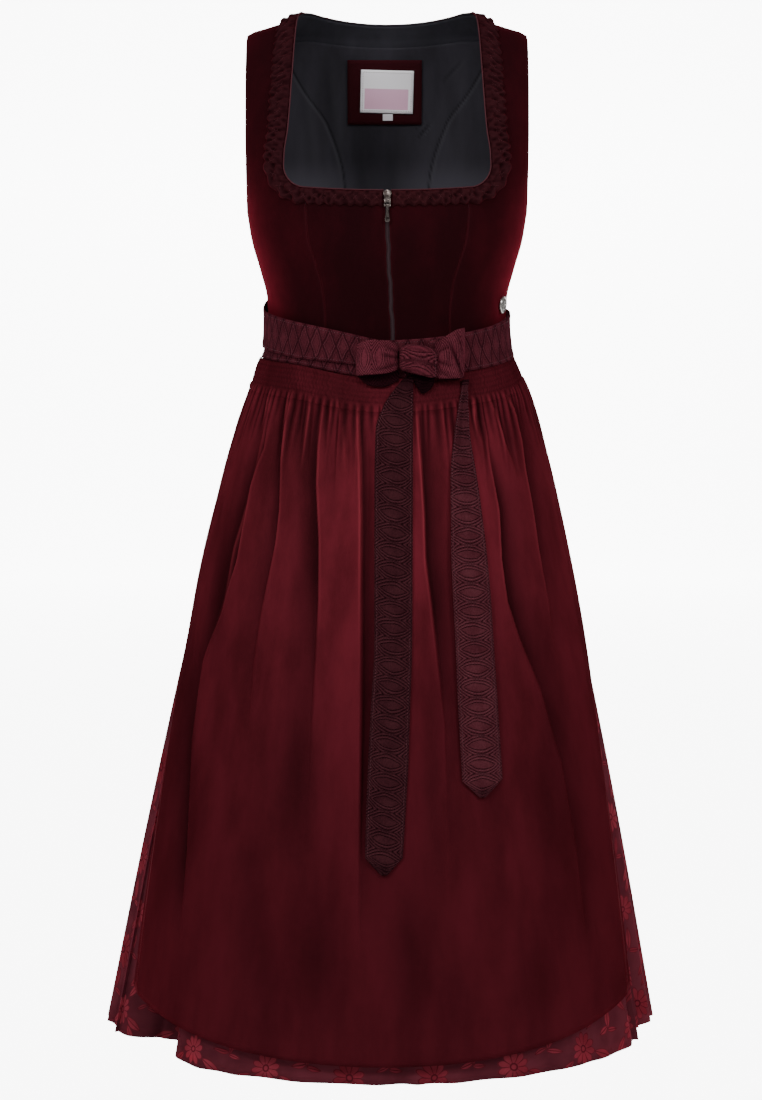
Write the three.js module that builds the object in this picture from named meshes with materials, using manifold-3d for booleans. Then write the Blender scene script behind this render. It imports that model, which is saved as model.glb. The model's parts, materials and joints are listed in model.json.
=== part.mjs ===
// A dirndl, filled out as if worn: velvet bodice with a square neck and a front zip, full skirt,
// satin apron with a shirred top, and apron ties wound round the back to a bow at the front.
//
// Millimetres, +Z up. The front faces -Y and +X is the wearer's left. The origin lies between
// the shoulders, on the line where the dress is carried; the shoulder seams run in the plane Y = 0.
//
// Every cloth is measured from one form: a stack of level sections, each a rounded oval with its
// own half widths and depths. A point is named by its angle round the form (0 front, 90 wearer's
// left, 180 back) and its height. Cloth walls lie a stated distance out from the form.

import * as THREE from 'three';
import Module from 'manifold-3d';
import { mergeVertices } from 'three/addons/utils/BufferGeometryUtils.js';

const wasm = await Module();
wasm.setup();

// ---------------------------------------------------------------- driving dimensions

const SEAM_GAP = 0.3;
const VELVET = 1.6;
const LINING = 0.9;
const SKIRT_CLOTH = 1.5;
const APRON_CLOTH = 1.4;
const RIBBON = 1.2;

const WAIST_SIDE_Z = -345;
const WAIST_DIP_FRONT = 17;
const WAIST_DIP_BACK = 5;
const HEM_Z = -1076;

const ARMHOLE_X = 148;
const ARMPIT_Z = -200;
const NECK_TOP_Z = 8;
const BACK_NECK_DIP = 10;
const BACK_NECK_HALF = 80;
const NECK_CORNER = { x: 84, z: -152, radius: 23 };
const NECK_BOTTOM_SAG = 3;
const ZIP_HALF_GAP = 3;

// The form. z height; right and left half widths (wearer's), front and back depths, and the
// exponent of the rounded oval, 2 for an ellipse and more for a squarer one. The bodice is even;
// the skirt hangs a little wider on the wearer's right.
const FORM = [
  { z: 8, right: 91, left: 91, front: 20, back: 46, squareness: 2.2 },
  { z: 1, right: 102.5, left: 102.5, front: 27, back: 56, squareness: 2.2 },
  { z: -6, right: 115, left: 115, front: 33, back: 62, squareness: 2.2 },
  { z: -11, right: 133, left: 133, front: 35.5, back: 65, squareness: 2.2 },
  { z: -15, right: 144.5, left: 144.5, front: 37.5, back: 67.5, squareness: 2.2 },
  { z: -19, right: 148.6, left: 148.6, front: 39.5, back: 69.5, squareness: 2.2 },
  { z: -28, right: 154, left: 154, front: 46, back: 73, squareness: 2.2 },
  { z: -42, right: 161, left: 161, front: 56, back: 77.5, squareness: 2.2 },
  { z: -70, right: 167.5, left: 167.5, front: 74, back: 84, squareness: 2.2 },
  { z: -115, right: 166, left: 166, front: 97, back: 92, squareness: 2.2 },
  { z: -150, right: 159, left: 159, front: 110, back: 96, squareness: 2.2 },
  { z: -178, right: 153, left: 153, front: 117, back: 98, squareness: 2.2 },
  { z: -200, right: 148.4, left: 148.4, front: 120.5, back: 99, squareness: 2.2 },
  { z: -230, right: 143.5, left: 143.5, front: 121, back: 98, squareness: 2.2 },
  { z: -262, right: 134.5, left: 134.5, front: 115.5, back: 94.5, squareness: 2.2 },
  { z: -292, right: 127.3, left: 127.3, front: 106.5, back: 91, squareness: 2.2 },
  { z: -320, right: 126, left: 126, front: 98.5, back: 88.5, squareness: 2.2 },
  { z: -345, right: 128.6, left: 128.6, front: 96.3, back: 89.7, squareness: 2.18 },
  { z: -362, right: 135.6, left: 135.6, front: 97.5, back: 95, squareness: 2.14 },
  { z: -384, right: 142, left: 145, front: 105, back: 102, squareness: 2.1 },
  { z: -421, right: 154, left: 156.5, front: 119, back: 113, squareness: 2.06 },
  { z: -573, right: 195, left: 193, front: 158, back: 148, squareness: 2 },
  { z: -836, right: 256, left: 248.5, front: 207, back: 191, squareness: 2 },
  { z: -1078, right: 307, left: 293, front: 250, back: 228, squareness: 2 },
];

// The neck edge of the strap: how far out it runs at each height.
const NECK_SIDE = [
  { z: 8, x: 88.5 },
  { z: 3, x: 93.5 },
  { z: -14, x: 96 },
  { z: -60, x: 99 },
  { z: -116, x: 103 },
  { z: -138, x: 106.3 },
  { z: -152, x: 107 },
];

// Princess seams, from the neck corner to the waist in front and from the armhole at the back.
const FRONT_SEAM = [
  { z: -175, x: 85 },
  { z: -223, x: 82 },
  { z: -252, x: 74 },
  { z: -275, x: 67.5 },
  { z: -307, x: 64.5 },
  { z: -366, x: 66 },
];
const BACK_SEAM = [
  { z: -41, x: 148 },
  { z: -48, x: 131 },
  { z: -58, x: 111 },
  { z: -72, x: 92 },
  { z: -109, x: 66 },
  { z: -169, x: 49 },
  { z: -260, x: 43 },
  { z: -352, x: 45 },
];

// ---------------------------------------------------------------- tables as smooth curves

// Value of one column of a table at a height, by monotone cubic pieces, so that a curve through
// the rows never swings past them.
function curveAt(table, key, at, axis = 'z') {
  const rising = table[0][axis] < table[table.length - 1][axis];
  const rows = rising ? table : [...table].reverse();
  if (at <= rows[0][axis]) return rows[0][key];
  if (at >= rows[rows.length - 1][axis]) return rows[rows.length - 1][key];
  let i = 0;
  while (rows[i + 1][axis] < at) i += 1;
  const step = (k) => rows[k + 1][axis] - rows[k][axis];
  const rate = (k) => (rows[k + 1][key] - rows[k][key]) / step(k);
  const slope = (k) => {
    if (k === 0) return rate(0);
    if (k === rows.length - 1) return rate(k - 1);
    if (rate(k - 1) * rate(k) <= 0) return 0;
    const before = 2 * step(k) + step(k - 1);
    const after = step(k) + 2 * step(k - 1);
    return (before + after) / (before / rate(k - 1) + after / rate(k));
  };
  const width = step(i);
  const t = (at - rows[i][axis]) / width;
  const h00 = (1 + 2 * t) * (1 - t) ** 2;
  const h10 = t * (1 - t) ** 2;
  const h01 = t * t * (3 - 2 * t);
  const h11 = t * t * (t - 1);
  return h00 * rows[i][key] + h10 * width * slope(i) + h01 * rows[i + 1][key] + h11 * width * slope(i + 1);
}

const radians = THREE.MathUtils.degToRad;
const degrees = THREE.MathUtils.radToDeg;
const mix = THREE.MathUtils.lerp;
const ramp = THREE.MathUtils.smoothstep;
const signedPower = (value, power) => Math.sign(value) * Math.abs(value) ** power;
const range = (count) => Array.from({ length: count }, (_, i) => i);

// ---------------------------------------------------------------- the form

function section(z, onLeft, inFront) {
  return {
    half: curveAt(FORM, onLeft ? 'left' : 'right', z),
    depth: curveAt(FORM, inFront ? 'front' : 'back', z),
    squareness: curveAt(FORM, 'squareness', z),
  };
}

// Point of the form at an angle in degrees and a height.
function formPoint(angle, z) {
  const sin = Math.sin(radians(angle));
  const cos = Math.cos(radians(angle));
  const { half, depth, squareness } = section(z, sin >= 0, cos >= 0);
  const power = 2 / squareness;
  return new THREE.Vector3(half * signedPower(sin, power), -depth * signedPower(cos, power), z);
}

// Outward normal of the form, by small steps round it and up it.
function formNormal(angle, z) {
  const turn = 0.5;
  const rise = 0.5;
  const around = formPoint(angle + turn, z).sub(formPoint(angle - turn, z));
  const up = formPoint(angle, z + rise).sub(formPoint(angle, z - rise));
  return around.cross(up).normalize();
}

// The same, level: the direction in which bands, skirt and apron are set out.
function levelNormal(angle, z) {
  const normal = formNormal(angle, z);
  normal.z = 0;
  return normal.normalize();
}

const offForm = (angle, z, out) => formPoint(angle, z).addScaledVector(formNormal(angle, z), out);
const offLevel = (angle, z, out) => formPoint(angle, z).addScaledVector(levelNormal(angle, z), out);

// Angle in front at which the form is x wide at a height, and the same behind.
function frontAngle(x, z) {
  const { half, squareness } = section(z, x >= 0, true);
  const share = Math.min(1, Math.abs(x) / half);
  return Math.sign(x) * degrees(Math.asin(share ** (squareness / 2)));
}
const backAngle = (x, z) => 180 - frontAngle(x, z);

// Angle from the middle of the front, or of the back, to a line that lies a distance short of the
// plane Y = 0, where the side seams are.
function seamReach(z, inFront, distance) {
  const { depth, squareness } = section(z, true, inFront);
  return 90 - degrees(Math.asin(Math.min(1, distance / depth) ** (squareness / 2)));
}

// Height of the waist seam round the form.
function waistZ(angle) {
  const cos = Math.cos(radians(angle));
  return WAIST_SIDE_Z - (cos > 0 ? WAIST_DIP_FRONT : WAIST_DIP_BACK) * cos * cos;
}

// ---------------------------------------------------------------- closed solids from rings and grids

// A closed body from its corner points and faces; it is turned inside out if its volume is negative.
function solid(points, faces) {
  const volume = faces.reduce((sum, [a, b, c]) => {
    return sum + points[a].dot(new THREE.Vector3().crossVectors(points[b], points[c]));
  }, 0);
  const outward = volume > 0 ? faces : faces.map(([a, b, c]) => [a, c, b]);
  const geometry = new THREE.BufferGeometry();
  const positions = points.flatMap((point) => point.toArray());
  geometry.setAttribute('position', new THREE.Float32BufferAttribute(positions, 3));
  geometry.setIndex(outward.flat());
  return geometry;
}

// A wall of cloth. outer and inner are grids of points, rows by columns, of the same size.
function wall(outer, inner) {
  const rows = outer.length;
  const columns = outer[0].length;
  const points = [...outer.flat(), ...inner.flat()];
  const front = (row, column) => row * columns + column;
  const back = (row, column) => rows * columns + front(row, column);
  const faces = [];
  const quad = (a, b, c, d) => faces.push([a, b, c], [a, c, d]);
  for (let row = 0; row < rows - 1; row += 1) {
    for (let column = 0; column < columns - 1; column += 1) {
      const next = column + 1;
      quad(front(row, column), front(row, next), front(row + 1, next), front(row + 1, column));
      quad(back(row, column), back(row + 1, column), back(row + 1, next), back(row, next));
    }
  }
  const far = columns - 1;
  for (let row = 0; row < rows - 1; row += 1) {
    const next = row + 1;
    quad(front(row, 0), front(next, 0), back(next, 0), back(row, 0));
    quad(front(next, far), front(row, far), back(row, far), back(next, far));
  }
  const foot = rows - 1;
  for (let column = 0; column < columns - 1; column += 1) {
    const next = column + 1;
    quad(front(0, next), front(0, column), back(0, column), back(0, next));
    quad(front(foot, column), front(foot, next), back(foot, next), back(foot, column));
  }
  return solid(points, faces);
}

// A body swept through rings of equal count, closed at both ends by fans from its first corner.
function sweep(rings) {
  const count = rings[0].length;
  const faces = [];
  for (let ring = 0; ring < rings.length - 1; ring += 1) {
    for (let i = 0; i < count; i += 1) {
      const next = (i + 1) % count;
      const near = ring * count;
      const far = near + count;
      faces.push([near + i, near + next, far + next], [near + i, far + next, far + i]);
    }
  }
  const end = (rings.length - 1) * count;
  for (let i = 1; i < count - 1; i += 1) {
    faces.push([0, i + 1, i], [end, end + i, end + i + 1]);
  }
  return solid(rings.flat(), faces);
}

const mirrored = (grid) => grid.map((row) => row.map((p) => new THREE.Vector3(-p.x, p.y, p.z)));

// Union of closed bodies that cross each other.
function fused(geometries) {
  const bodies = geometries.map((source) => {
    const geometry = source.clone();
    geometry.deleteAttribute('normal');
    geometry.deleteAttribute('uv');
    const merged = mergeVertices(geometry, 1e-4);
    return new wasm.Manifold(new wasm.Mesh({
      numProp: 3,
      vertProperties: new Float32Array(merged.attributes.position.array),
      triVerts: new Uint32Array(merged.index.array),
    }));
  });
  const whole = bodies.reduce((sum, body) => sum.add(body)).getMesh();
  const geometry = new THREE.BufferGeometry();
  geometry.setAttribute('position', new THREE.BufferAttribute(new Float32Array(whole.vertProperties), 3));
  geometry.setIndex(new THREE.BufferAttribute(new Uint32Array(whole.triVerts), 1));
  return geometry;
}

// ---------------------------------------------------------------- finishes and assembly

const FINISHES = {
  velvet: { color: 0x2a060c, roughness: 0.85, metalness: 0 },
  ruche: { color: 0x35090f, roughness: 0.85, metalness: 0 },
  lining: { color: 0x1d2022, roughness: 0.7, metalness: 0 },
  jacquard: { color: 0x4a1722, roughness: 0.5, metalness: 0 },
  satin: { color: 0x521019, roughness: 0.45, metalness: 0 },
  ribbon: { color: 0x4b1c28, roughness: 0.65, metalness: 0 },
  tape: { color: 0x33262a, roughness: 0.8, metalness: 0 },
  label: { color: 0xe6dfe4, roughness: 0.6, metalness: 0 },
  silver: { color: 0x9a948c, roughness: 0.35, metalness: 1 },
};

const dirndl = new THREE.Group();

function add(name, finish, geometry) {
  const mesh = new THREE.Mesh(geometry, new THREE.MeshStandardMaterial(FINISHES[finish]));
  mesh.name = name;
  dirndl.add(mesh);
  return mesh;
}

// ---------------------------------------------------------------- velvet bodice

// A panel of the bodice between two edges. Each row is a level of the form, which bends down to
// the waist seam at the bottom; leftAngle and rightAngle give the edges at a level.
function panelGrid({ levels, columns, fromAngle, toAngle, lift, out }) {
  return levels.map((level) => range(columns + 1).map((column) => {
    const share = column / columns;
    const angle = mix(fromAngle(level), toAngle(level), share);
    const bend = (waistZ(angle) - WAIST_SIDE_Z) * (1 - ramp(level, WAIST_SIDE_Z, WAIST_SIDE_Z + 45));
    const z = level + bend + (lift ? lift(level, angle) : 0);
    const place = lift ? keepWidth(angle, level, z) : angle;
    return offForm(place, z, out);
  }));
}

// A point that is lifted keeps its distance from the centre line.
function keepWidth(angle, level, z) {
  const x = formPoint(angle, level).x;
  return Math.cos(radians(angle)) >= 0 ? frontAngle(x, z) : backAngle(x, z);
}

// The side edge of the front half at a level: the side seam, the armhole, or the shoulder seam.
function sideEdgeAngle(z, inFront) {
  const { half, squareness } = section(z, true, inFront);
  const seam = seamReach(z, inFront, SEAM_GAP / 2);
  const armhole = degrees(Math.asin(Math.min(1, ARMHOLE_X / half) ** (squareness / 2)));
  const angle = z > ARMPIT_Z ? Math.min(seam, armhole) : seam;
  return inFront ? angle : 180 - angle;
}

// Neck edge of the front: the strap's side, the rounded corner, then the princess seam.
function neckEdgeX(z) {
  const { x, z: centre, radius } = NECK_CORNER;
  if (z >= centre) return curveAt(NECK_SIDE, 'x', z);
  if (z >= centre - radius) return x + Math.sqrt(Math.max(0, radius ** 2 - (centre - z) ** 2));
  return curveAt(FRONT_SEAM, 'x', z);
}

const neckCornerZ = NECK_CORNER.z - NECK_CORNER.radius;
const neckBottomZ = neckCornerZ - NECK_BOTTOM_SAG;

// Levels of the form at which the panels have their rows.
const WAIST_LEVELS = [-345, -334, -320, -292, -262, -230, -200];
const CORNER_LEVELS = [-197, -189, -174.7, -173, -169, -162, -152];
const STRAP_LEVELS = [-120, -90, -60, -40, -27, -19, -15, -11, -6, 1, 8];
const BACK_LEVELS = [-197, -189, -169, -140, -109, -86, -72, -58, -48, -42];

const frontCentre = {
  levels: [...WAIST_LEVELS, neckBottomZ],
  columns: 5,
  fromAngle: (z) => frontAngle(ZIP_HALF_GAP, z),
  toAngle: (z) => frontAngle(curveAt(FRONT_SEAM, 'x', z) - SEAM_GAP / 2, z),
  lift: (z, angle) => {
    const share = formPoint(angle, z).x / NECK_CORNER.x;
    return NECK_BOTTOM_SAG * share * share * ramp(z, -230, neckBottomZ);
  },
};

const frontSide = {
  levels: [...WAIST_LEVELS, ...CORNER_LEVELS, ...STRAP_LEVELS],
  columns: 5,
  fromAngle: (z) => frontAngle(neckEdgeX(z) + SEAM_GAP / 2, z),
  toAngle: (z) => sideEdgeAngle(z, true),
};

// The back rises at the neck's sides and dips between them.
function backNeckLift(z, angle) {
  const share = Math.min(1, Math.abs(formPoint(angle, z).x) / BACK_NECK_HALF);
  return -BACK_NECK_DIP * (1 - share * share) * ramp(z, -60, NECK_TOP_Z);
}

const backSeamTop = BACK_SEAM[0].z;
const backCentreEdge = (z) => {
  if (z >= backSeamTop) return sideEdgeAngle(z, false);
  return Math.max(sideEdgeAngle(z, false), backAngle(curveAt(BACK_SEAM, 'x', z) - SEAM_GAP / 2, z));
};

const backCentre = {
  levels: [...WAIST_LEVELS, ...BACK_LEVELS, ...STRAP_LEVELS.slice(4)],
  columns: 10,
  fromAngle: backCentreEdge,
  toAngle: (z) => 360 - backCentreEdge(z),
  lift: backNeckLift,
};

const backSide = {
  levels: [...WAIST_LEVELS, ...BACK_LEVELS],
  columns: 5,
  fromAngle: (z) => sideEdgeAngle(z, false),
  toAngle: (z) => backAngle(curveAt(BACK_SEAM, 'x', z) + SEAM_GAP / 2, z),
};

function addPair(name, finish, outer, inner) {
  add(`${name}_left`, finish, wall(outer, inner));
  add(`${name}_right`, finish, wall(mirrored(outer), mirrored(inner)));
}

for (const [name, shape] of Object.entries({
  bodice_front_center: frontCentre,
  bodice_front_side: frontSide,
  bodice_back_side: backSide,
})) {
  addPair(name, 'velvet', panelGrid({ ...shape, out: 0 }), panelGrid({ ...shape, out: -VELVET }));
}
add('bodice_back_center', 'velvet',
  wall(panelGrid({ ...backCentre, out: 0 }), panelGrid({ ...backCentre, out: -VELVET })));

// ---------------------------------------------------------------- inside of the back: lining, facing, label

const LINING_DEPTH = VELVET + 2.3;
const FACING_DEPTH = VELVET + 0.8;
const FACING_FOOT = -6;

// The lining reaches from side seam to side seam and up to the facing that follows the neck.
const liningEdge = (z) => sideEdgeAngle(z, false) + 8;
const backLining = {
  levels: [...WAIST_LEVELS, -189, -169, -140, -109, -80, -58, -40, -27, -17, FACING_FOOT - 1.3],
  columns: 12,
  fromAngle: liningEdge,
  toAngle: (z) => 360 - liningEdge(z),
  lift: backNeckLift,
};
const neckFacing = { ...backCentre, levels: [FACING_FOOT, 1, NECK_TOP_Z - 1] };
add('lining_back', 'lining', wall(
  panelGrid({ ...backLining, out: -LINING_DEPTH }),
  panelGrid({ ...backLining, out: -LINING_DEPTH - LINING }),
));
add('neck_facing', 'lining', wall(
  panelGrid({ ...neckFacing, out: -FACING_DEPTH }),
  panelGrid({ ...neckFacing, out: -FACING_DEPTH - LINING }),
));

// Flat pieces sewn inside the back, each a rectangle laid on the form and turned a little.
function insideBack({ x, z, width, height, turn, depth, thickness }) {
  const columns = 4;
  const rows = 2;
  const layer = (out) => range(rows + 1).map((row) => range(columns + 1).map((column) => {
    const across = (column / columns - 0.5) * width;
    const up = (row / rows - 0.5) * height;
    const place = new THREE.Vector2(across, up).rotateAround(new THREE.Vector2(), radians(turn));
    const level = z + place.y;
    return offForm(backAngle(x + place.x, level), level, out);
  }));
  return wall(layer(-depth), layer(-depth - thickness));
}

const LABEL_DEPTH = LINING_DEPTH + LINING + 0.7;
const LABEL_PIECES = [
  { name: 'label_patch', x: -4, z: -72, width: 79, height: 69, turn: 0, over: 0, thickness: 1.2 },
  { name: 'label', x: -4, z: -71, width: 58, height: 46, turn: -1.5, over: 1.9, thickness: 0.8 },
  { name: 'size_tab', x: -3, z: -98.5, width: 11, height: 7, turn: 0, over: 1.7, thickness: 0.8 },
];
for (const { name, over, ...shape } of LABEL_PIECES) {
  add(name, name === 'label_patch' ? 'velvet' : 'label', insideBack({ ...shape, depth: LABEL_DEPTH + over }));
}

// ---------------------------------------------------------------- zip

const TAPE = { near: 0.3, far: 10, depth: VELVET + 0.5, thickness: 0.9 };

const zipTape = {
  levels: [...WAIST_LEVELS, neckBottomZ],
  columns: 2,
  fromAngle: (z) => frontAngle(TAPE.near, z),
  toAngle: (z) => frontAngle(TAPE.far, z),
};
addPair('zip_tape', 'tape',
  panelGrid({ ...zipTape, out: -TAPE.depth }), panelGrid({ ...zipTape, out: -TAPE.depth - TAPE.thickness }));

// The slider lies along the front at the top of the zip, its web in the groove and its plate
// outside it. Between two ears at its foot a bar carries the pull, which swings on it.
const SLIDER = {
  topZ: -176.5,
  footZ: -190.5,
  plateHalf: 4.2,
  webHalf: 2.3,
  plateThickness: 1.8,
  plateOut: 0.5,
};
const BAR = { radius: 0.6, half: 2.2, out: 3.6, z: -192.8 };
const EAR = { thickness: 1.2, radius: 1.5, length: 4.5 };
const PULL = {
  eyeInner: 1.05,
  eyeOuter: 1.9,
  eyeHalf: 1.5,
  thickness: 1.3,
  length: 17,
  neckHalf: 1.1,
  dropHalf: 2.7,
};

const frontAt = (z) => formPoint(0, z);
const sliderLean = Math.atan2(frontAt(SLIDER.topZ).y - frontAt(SLIDER.footZ).y, SLIDER.topZ - SLIDER.footZ);
const barCentre = new THREE.Vector3(0, frontAt(BAR.z).y - BAR.out, BAR.z);

// An outline in X and Z, extruded towards the front from `out` by `thickness`.
function plate(outline, out, thickness) {
  const shape = new THREE.Shape(outline.map(([x, z]) => new THREE.Vector2(x, z)));
  const geometry = new THREE.ExtrudeGeometry(shape, { depth: thickness, bevelEnabled: false });
  return geometry.rotateX(Math.PI / 2).translate(0, -out, 0);
}

function shield(half, length) {
  const steps = 6;
  const top = range(steps + 1).map((i) => {
    const turn = Math.PI * (i / steps);
    return [half * Math.cos(turn), -half + half * Math.sin(turn) * 0.7];
  });
  return [...top, [-half * 0.72, -length * 0.6], [-half * 0.8, -length], [half * 0.8, -length],
    [half * 0.72, -length * 0.6]];
}

function alongX(radius, half, sides) {
  return new THREE.CylinderGeometry(radius, radius, half * 2, sides).rotateZ(Math.PI / 2);
}

const sliderLength = Math.hypot(frontAt(SLIDER.topZ).y - frontAt(SLIDER.footZ).y, SLIDER.topZ - SLIDER.footZ);
const sliderTop = frontAt(SLIDER.topZ);
const placeOnFront = (geometry) => geometry.rotateX(-sliderLean).translate(0, sliderTop.y, sliderTop.z);
const web = plate(shield(SLIDER.webHalf, sliderLength - 1), -TAPE.depth + 0.4, TAPE.depth + SLIDER.plateOut);
const face = plate(shield(SLIDER.plateHalf, sliderLength), SLIDER.plateOut, SLIDER.plateThickness);
const ears = [-1, 1].map((side) => {
  const drop = new THREE.BoxGeometry(EAR.thickness, BAR.out - SLIDER.plateOut, EAR.length);
  const middleY = barCentre.y + (BAR.out - SLIDER.plateOut) / 2;
  drop.translate(side * (BAR.half + EAR.thickness / 2), middleY, BAR.z + EAR.length / 2);
  const round = alongX(EAR.radius, EAR.thickness / 2, 12);
  round.translate(side * (BAR.half + EAR.thickness / 2), barCentre.y, BAR.z);
  return [drop, round];
}).flat();
const bar = alongX(BAR.radius, BAR.half + EAR.thickness / 2, 12).translate(0, barCentre.y, BAR.z);
add('zip_slider', 'silver', fused([placeOnFront(web), placeOnFront(face), ...ears, bar]));

// The pull: an eye round the bar and a drop-shaped plate that hangs straight under it.
const eyeShape = new THREE.Shape().absarc(0, 0, PULL.eyeOuter, 0, Math.PI * 2);
eyeShape.holes.push(new THREE.Path().absarc(0, 0, PULL.eyeInner, 0, Math.PI * 2, true));
const eye = new THREE.ExtrudeGeometry(eyeShape, {
  depth: PULL.eyeHalf * 2,
  bevelEnabled: false,
  curveSegments: 10,
});
eye.translate(0, 0, -PULL.eyeHalf).rotateY(Math.PI / 2);
const dropCentreZ = -PULL.length + PULL.dropHalf;
const dropOutline = [
  [PULL.neckHalf, -PULL.eyeInner - 0.3],
  [-PULL.neckHalf, -PULL.eyeInner - 0.3],
  [-PULL.neckHalf, -PULL.length * 0.42],
  ...range(9).map((i) => {
    const turn = Math.PI * (1 + i / 8);
    return [PULL.dropHalf * Math.cos(turn), dropCentreZ + PULL.dropHalf * Math.sin(turn)];
  }),
  [PULL.neckHalf, -PULL.length * 0.42],
];
const drop = plate(dropOutline, -PULL.thickness / 2, PULL.thickness);
const pull = fused([eye, drop]);
add('zip_pull', 'silver', pull.translate(0, barCentre.y, barCentre.z));

// ---------------------------------------------------------------- side button

const BUTTON = { x: 120.5, z: -297, radius: 9, rim: 1.4, dome: 2.6, seat: 0.6 };
const buttonProfile = [
  [0, 0], [BUTTON.radius - 0.6, 0], [BUTTON.radius, 0.5], [BUTTON.radius, BUTTON.rim],
  [BUTTON.radius * 0.85, BUTTON.rim + 0.5], [BUTTON.radius * 0.5, BUTTON.dome - 0.3], [0, BUTTON.dome],
].map(([x, y]) => new THREE.Vector2(x, y));
const button = new THREE.LatheGeometry(buttonProfile, 20);
const buttonAngle = frontAngle(BUTTON.x, BUTTON.z);
const buttonNormal = formNormal(buttonAngle, BUTTON.z);
const buttonMesh = add('side_button', 'silver', button);
buttonMesh.quaternion.setFromUnitVectors(new THREE.Vector3(0, 1, 0), buttonNormal);
buttonMesh.position.copy(offForm(buttonAngle, BUTTON.z, BUTTON.seat));

// ---------------------------------------------------------------- neck ruche

// A velvet strip gathered into puffs by crossed stitches. It starts by the zip, runs along the
// neck's bottom, round the corner and up the strap to the shoulder seam.
const RUCHE = {
  puffs: 28,
  stations: 3,
  seat: 0.7,
  edge: 1.3,
  valley: 2.2,
  crest: 4.6,
  pinch: 1.1,
  startX: 5.2,
  endZ: 5.8,
};
const RUCHE_WIDTH = [
  { along: 0, width: 16.5 },
  { along: 0.24, width: 17 },
  { along: 0.42, width: 21 },
  { along: 0.8, width: 22.5 },
  { along: 1, width: 21 },
];

// The neck edge as a path in X and height, with the direction that leads away from the opening.
function neckPath() {
  const { x, z, radius } = NECK_CORNER;
  const bottom = range(40).map((i) => {
    const at = mix(RUCHE.startX, x, i / 40);
    return { x: at, z: neckBottomZ + NECK_BOTTOM_SAG * (at / x) ** 2, awayX: 0, awayZ: -1 };
  });
  const corner = range(24).map((i) => {
    const turn = radians(-90 + 90 * (i / 24));
    const away = { x: Math.cos(turn), z: Math.sin(turn) };
    return { x: x + radius * away.x, z: z + radius * away.z, awayX: away.x, awayZ: away.z };
  });
  const side = range(120).map((i) => {
    const at = mix(z, RUCHE.endZ, 1 - (1 - i / 119) ** 1.5);
    return { x: curveAt(NECK_SIDE, 'x', at), z: at, awayX: 1, awayZ: 0 };
  });
  return [...bottom, ...corner, ...side];
}

// Height of the shoulder seam at a distance from the centre line.
const shoulderRows = FORM.filter(({ z }) => z >= -70);
const shoulderZ = (x) => curveAt(shoulderRows, 'z', x, 'left');

// A strip ends short of the shoulder seam, where the form turns over to the back.
const onFront = (x, z) => Math.min(frontAngle(x, z), seamReach(z, true, 0.4));

function rucheRings() {
  const path = neckPath().map((p) => ({ ...p, point: offForm(frontAngle(p.x, p.z), p.z, 0) }));
  let total = 0;
  const lengths = path.map((p, i) => {
    if (i > 0) total += p.point.distanceTo(path[i - 1].point);
    return total;
  });
  const steps = RUCHE.puffs * RUCHE.stations;
  return range(steps + 1).map((step) => {
    const along = step / steps;
    const target = along * total;
    const i = Math.max(1, lengths.findIndex((length) => length >= target - 1e-9));
    const t = (target - lengths[i - 1]) / (lengths[i] - lengths[i - 1]);
    const at = (key) => mix(path[i - 1][key], path[i][key], t);
    const puff = 0.5 - 0.5 * Math.cos((2 * Math.PI * step) / RUCHE.stations);
    const width = curveAt(RUCHE_WIDTH, 'width', along, 'along');
    const inset = RUCHE.pinch * (1 - puff);
    const height = mix(RUCHE.valley, RUCHE.crest, puff);
    const across = [
      [inset, RUCHE.edge], [width * 0.3, height], [width * 0.7, height],
      [width - inset, RUCHE.edge], [width - inset, 0], [width * 0.5, 0], [inset, 0],
    ];
    return across.map(([away, rise]) => {
      const x = at('x') + at('awayX') * away;
      const slant = (shoulderZ(x) - shoulderZ(at('x'))) * ramp(at('z'), NECK_CORNER.z, -20);
      const z = at('z') + at('awayZ') * away + slant;
      return offForm(onFront(x, z), z, RUCHE.seat + rise);
    });
  });
}

const rucheLeft = rucheRings();
add('neck_ruche_left', 'ruche', sweep(rucheLeft));
add('neck_ruche_right', 'ruche', sweep(mirrored(rucheLeft)));

// ---------------------------------------------------------------- skirt

// The skirt hangs from the waist seam. Its gathers stand inside the form, so that their crests
// lie on it: three columns of points to a gather, one on its crest and two in its trough.
const SKIRT_ROWS = [0, 0.035, 0.11, 0.3, 0.65, 1];
const SKIRT_DROP = 1;
const GATHER_COLUMNS = 3;
const FRONT_GATHERS = [
  { from: -90, to: -62, gathers: 4, depth: 9 },
  { from: -62, to: 62, gathers: 11, depth: 5 },
  { from: 62, to: 90, gathers: 4, depth: 9 },
];
const BACK_GATHERS = [{ from: -90, to: 90, gathers: 24, depth: 12 }];
// Gather depth, as a share of its full depth, down the skirt.
const GATHER_GROWTH = [
  { down: 0, share: 0.02 },
  { down: 0.03, share: 0.3 },
  { down: 0.15, share: 0.5 },
  { down: 0.5, share: 0.8 },
  { down: 1, share: 1 },
];
// Larger folds that swing in at the hem, by their angle and width in degrees.
const SKIRT_FOLDS = [
  { angle: -59, width: 9, depth: 50, starts: 0.5 },
  { angle: 76, width: 6, depth: 14, starts: 0.4 },
  { angle: 118, width: 7, depth: 18, starts: 0.3 },
  { angle: 163, width: 8, depth: 16, starts: 0.35 },
  { angle: 205, width: 7, depth: 18, starts: 0.3 },
  { angle: 247, width: 8, depth: 20, starts: 0.35 },
];

// Angle between two directions, from -180 to 180.
const turnBetween = (a, b) => ((((a - b) % 360) + 540) % 360) - 180;

function foldDepth(angle, down) {
  return SKIRT_FOLDS.reduce((sum, fold) => {
    const away = turnBetween(angle, fold.angle) / fold.width;
    return sum + fold.depth * Math.exp(-away * away) * ramp(down, fold.starts, 1);
  }, 0);
}

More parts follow.
